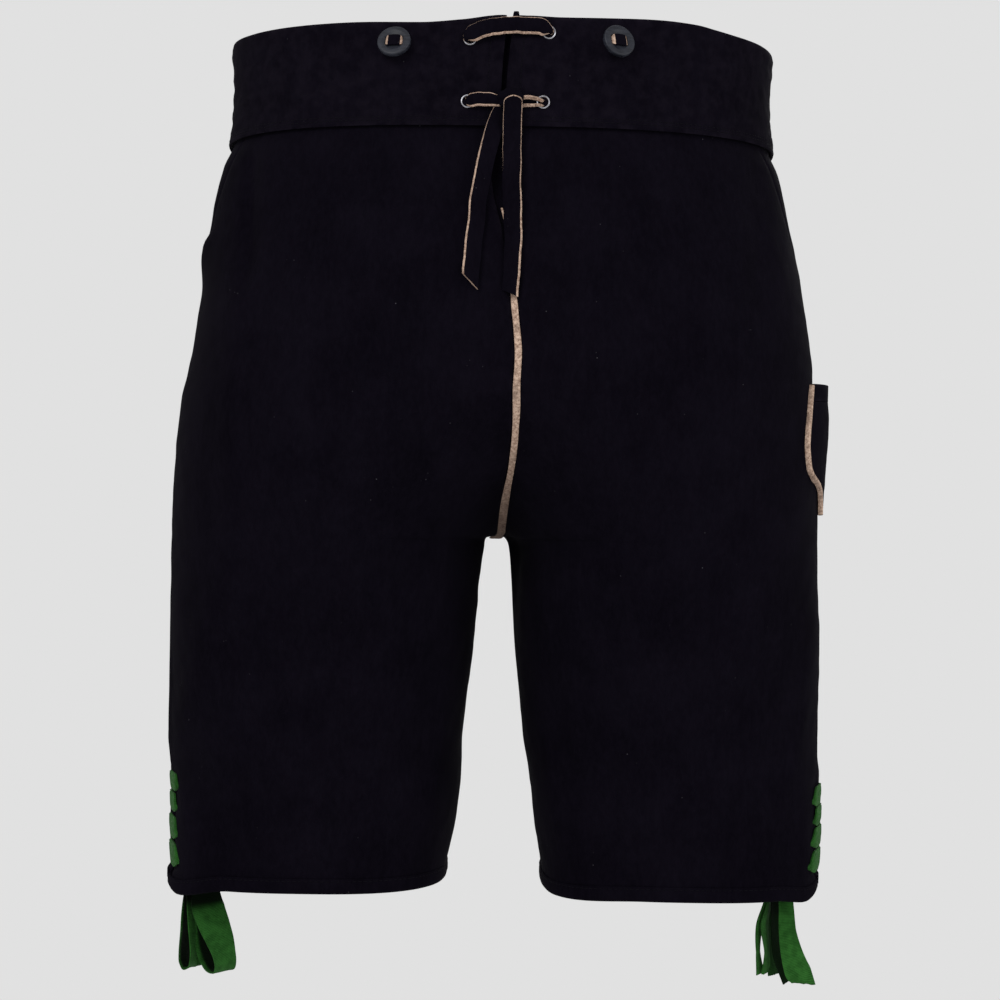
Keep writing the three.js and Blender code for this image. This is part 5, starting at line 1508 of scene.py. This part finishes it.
pocketBandLevels = stations(knifeCut["top"], knifeCut["bandFoot"], 1.4)
pocketBodyLevels = stations(knifeCut["bandFoot"] - 0.3, knifeCut["foot"], 1.7)
_, _, pocketBand = patchPiece("knifePocketBand", sideLine(-1), -1, pocketBandLevels, pocketColumns, pocketLift,
                              knifeCut["thick"], pocketShape, 0.8)
_, _, pocketBody = patchPiece("knifePocketBody", sideLine(-1), -1, pocketBodyLevels, pocketColumns, pocketLift,
                              knifeCut["thick"], pocketShape, 0.5)
dress(pocketBand, "suede", "knife_pocket_band")
dress(pocketBody, "suede", "knife_pocket")


def makePocketWelt():
    route, out, across = [], [], []
    for z in np.concatenate([[-206.6], stations(-207.4, -286, 1.2)]):
        point, way, _ = spotOn(sideLine(-1), -1, float(rearEdge(z)), z)
        below, _, _ = spotOn(sideLine(-1), -1, float(rearEdge(z - 1)), z - 1)
        route.append(point)
        out.append(way)
        across.append(unit(np.cross(way, unit(below - point))))
    route, out, across = np.array(route), np.array(out), np.array(across)
    halves = knifeCut["weltHalf"] * (1 + 0.08 * ripple(route, 11, 65))
    outlines = [[(0.3, -w), (2.4, -w), (3.05, -w * 0.75), (3.35, -w * 0.3), (3.3, w * 0.2), (3.05, w * 0.75),
                 (2.4, w), (0.3, w)] for w in halves]
    piece = sweepPiece("knifePocketWelt", route, out, across, outlines, [naturalEdge])
    dress(piece, "natural_edge", "knife_pocket_welt")


makePocketWelt()
print("drop front and pockets made")

# The stitching, one small thread for each stitch.
stitchCut = {"pitch": 3.3, "long": 2.5, "radius": 0.30, "sunk": 0.1, "lift": 0.05}


def stitchModel():
    # a plump six-sided capsule along X
    half, radius, sunk = stitchCut["long"] / 2, stitchCut["radius"], stitchCut["sunk"]
    points = [(-half, 0, -sunk)]
    for x, share in ((-half + 0.1, 0.55), (-half * 0.55, 0.95), (half * 0.55, 0.95), (half - 0.1, 0.55)):
        for turn in np.linspace(0, 2 * math.pi, 6, endpoint=False):
            points.append((x, share * radius * math.cos(turn), share * radius * math.sin(turn)))
    points.append((half, 0, -sunk))
    faces = []
    for k in range(6):
        after = (k + 1) % 6
        faces += [(0, 1 + after, 1 + k), (19 + k, 19 + after, 25)]
        faces += [(low + k, low + after, low + 6 + after, low + 6 + k) for low in (1, 7, 13)]
    return np.array(points), faces


def stitchRows(name, rows):
    # rows: (points, outward directions) of each seam line
    shape, shapeFaces = stitchModel()
    points, faces = [], []
    for line, out in rows:
        length = runLength(line)
        at = np.arange(stitchCut["pitch"] * 0.6, length[-1] - stitchCut["pitch"] * 0.4, stitchCut["pitch"])
        place = readAlong(at, length, line)
        way = unit(readAlong(at + 0.5, length, line) - readAlong(at - 0.5, length, line))
        sideways = unit(np.cross(unit(readAlong(at, length, out)), way))
        up = np.cross(way, sideways)
        for k in range(len(at)):
            start = len(points) * len(shape)
            turned = shape[:, :1] * way[k] + shape[:, 1:2] * sideways[k] + shape[:, 2:] * up[k]
            points.append(place[k] + up[k] * stitchCut["lift"] + turned)
            faces += [tuple(start + corner for corner in face) for face in shapeFaces]
    stitches = newPiece(name, np.vstack(points), faces, [thread])
    smoothShade(stitches, 80)
    dress(stitches, "suede")
    return stitches


def alongGrid(grid, out, levels, height):
    # a level line across a grid of rows
    k = np.interp(-height, -np.asarray(levels), np.arange(len(levels)))
    i, t = int(k), k - int(k)
    j = min(i + 1, len(levels) - 1)
    return mix(grid[i], grid[j], t), mix(out[i], out[j], t)


for side, label in sides:
    grid, out, levels, edge = bandEdges[label]
    rows = [alongGrid(grid, out, levels, -cloth["bandHeight"] + up) for up in band["stitchUp"]]
    rows = [(line[2:-2], way[2:-2]) for line, way in rows]
    middle = edge[len(edge) // 2, :40]
    column = int(np.argmin(np.abs(middle - (band["placket"] - band["stitchIn"]))))
    rows.append((grid[2:-4, column], out[2:-4, column]))
    stitchRows(f"bandStitches{label}", rows)
hemStitches = {label: stitchRows(f"hemStitches{label}", [hemFrames[label]]) for _, label in sides}


def flapSeam(rim, way):
    # down one side of the drop front, a little in from its edge
    line, outs = [], []
    for k, z in enumerate(flapLevels):
        if flapCut["foot"] + rim < z <= flapCut["top"] - rim:
            half = float(flapHalf(z))
            share = np.interp(way * (half - rim) / half, shares, np.arange(len(shares)))
            i, t = int(share), share - int(share)
            line.append(mix(flapGrid[k, i], flapGrid[k, min(i + 1, len(shares) - 1)], t))
            outs.append(flapOut[k, i])
    return np.array(line), np.array(outs)


flapSeams = []
for rim in flapCut["stitchIn"]:
    foot = flapCut["foot"] + rim
    line, outs = alongGrid(flapGrid, flapOut, flapLevels, foot)
    inside = np.abs(shares) * float(flapHalf(foot)) < float(flapHalf(foot)) - rim
    flapSeams += [flapSeam(rim, -1), flapSeam(rim, 1), (line[inside], outs[inside])]
flapStitches = stitchRows("dropFrontStitches", flapSeams)
print("stitching made")
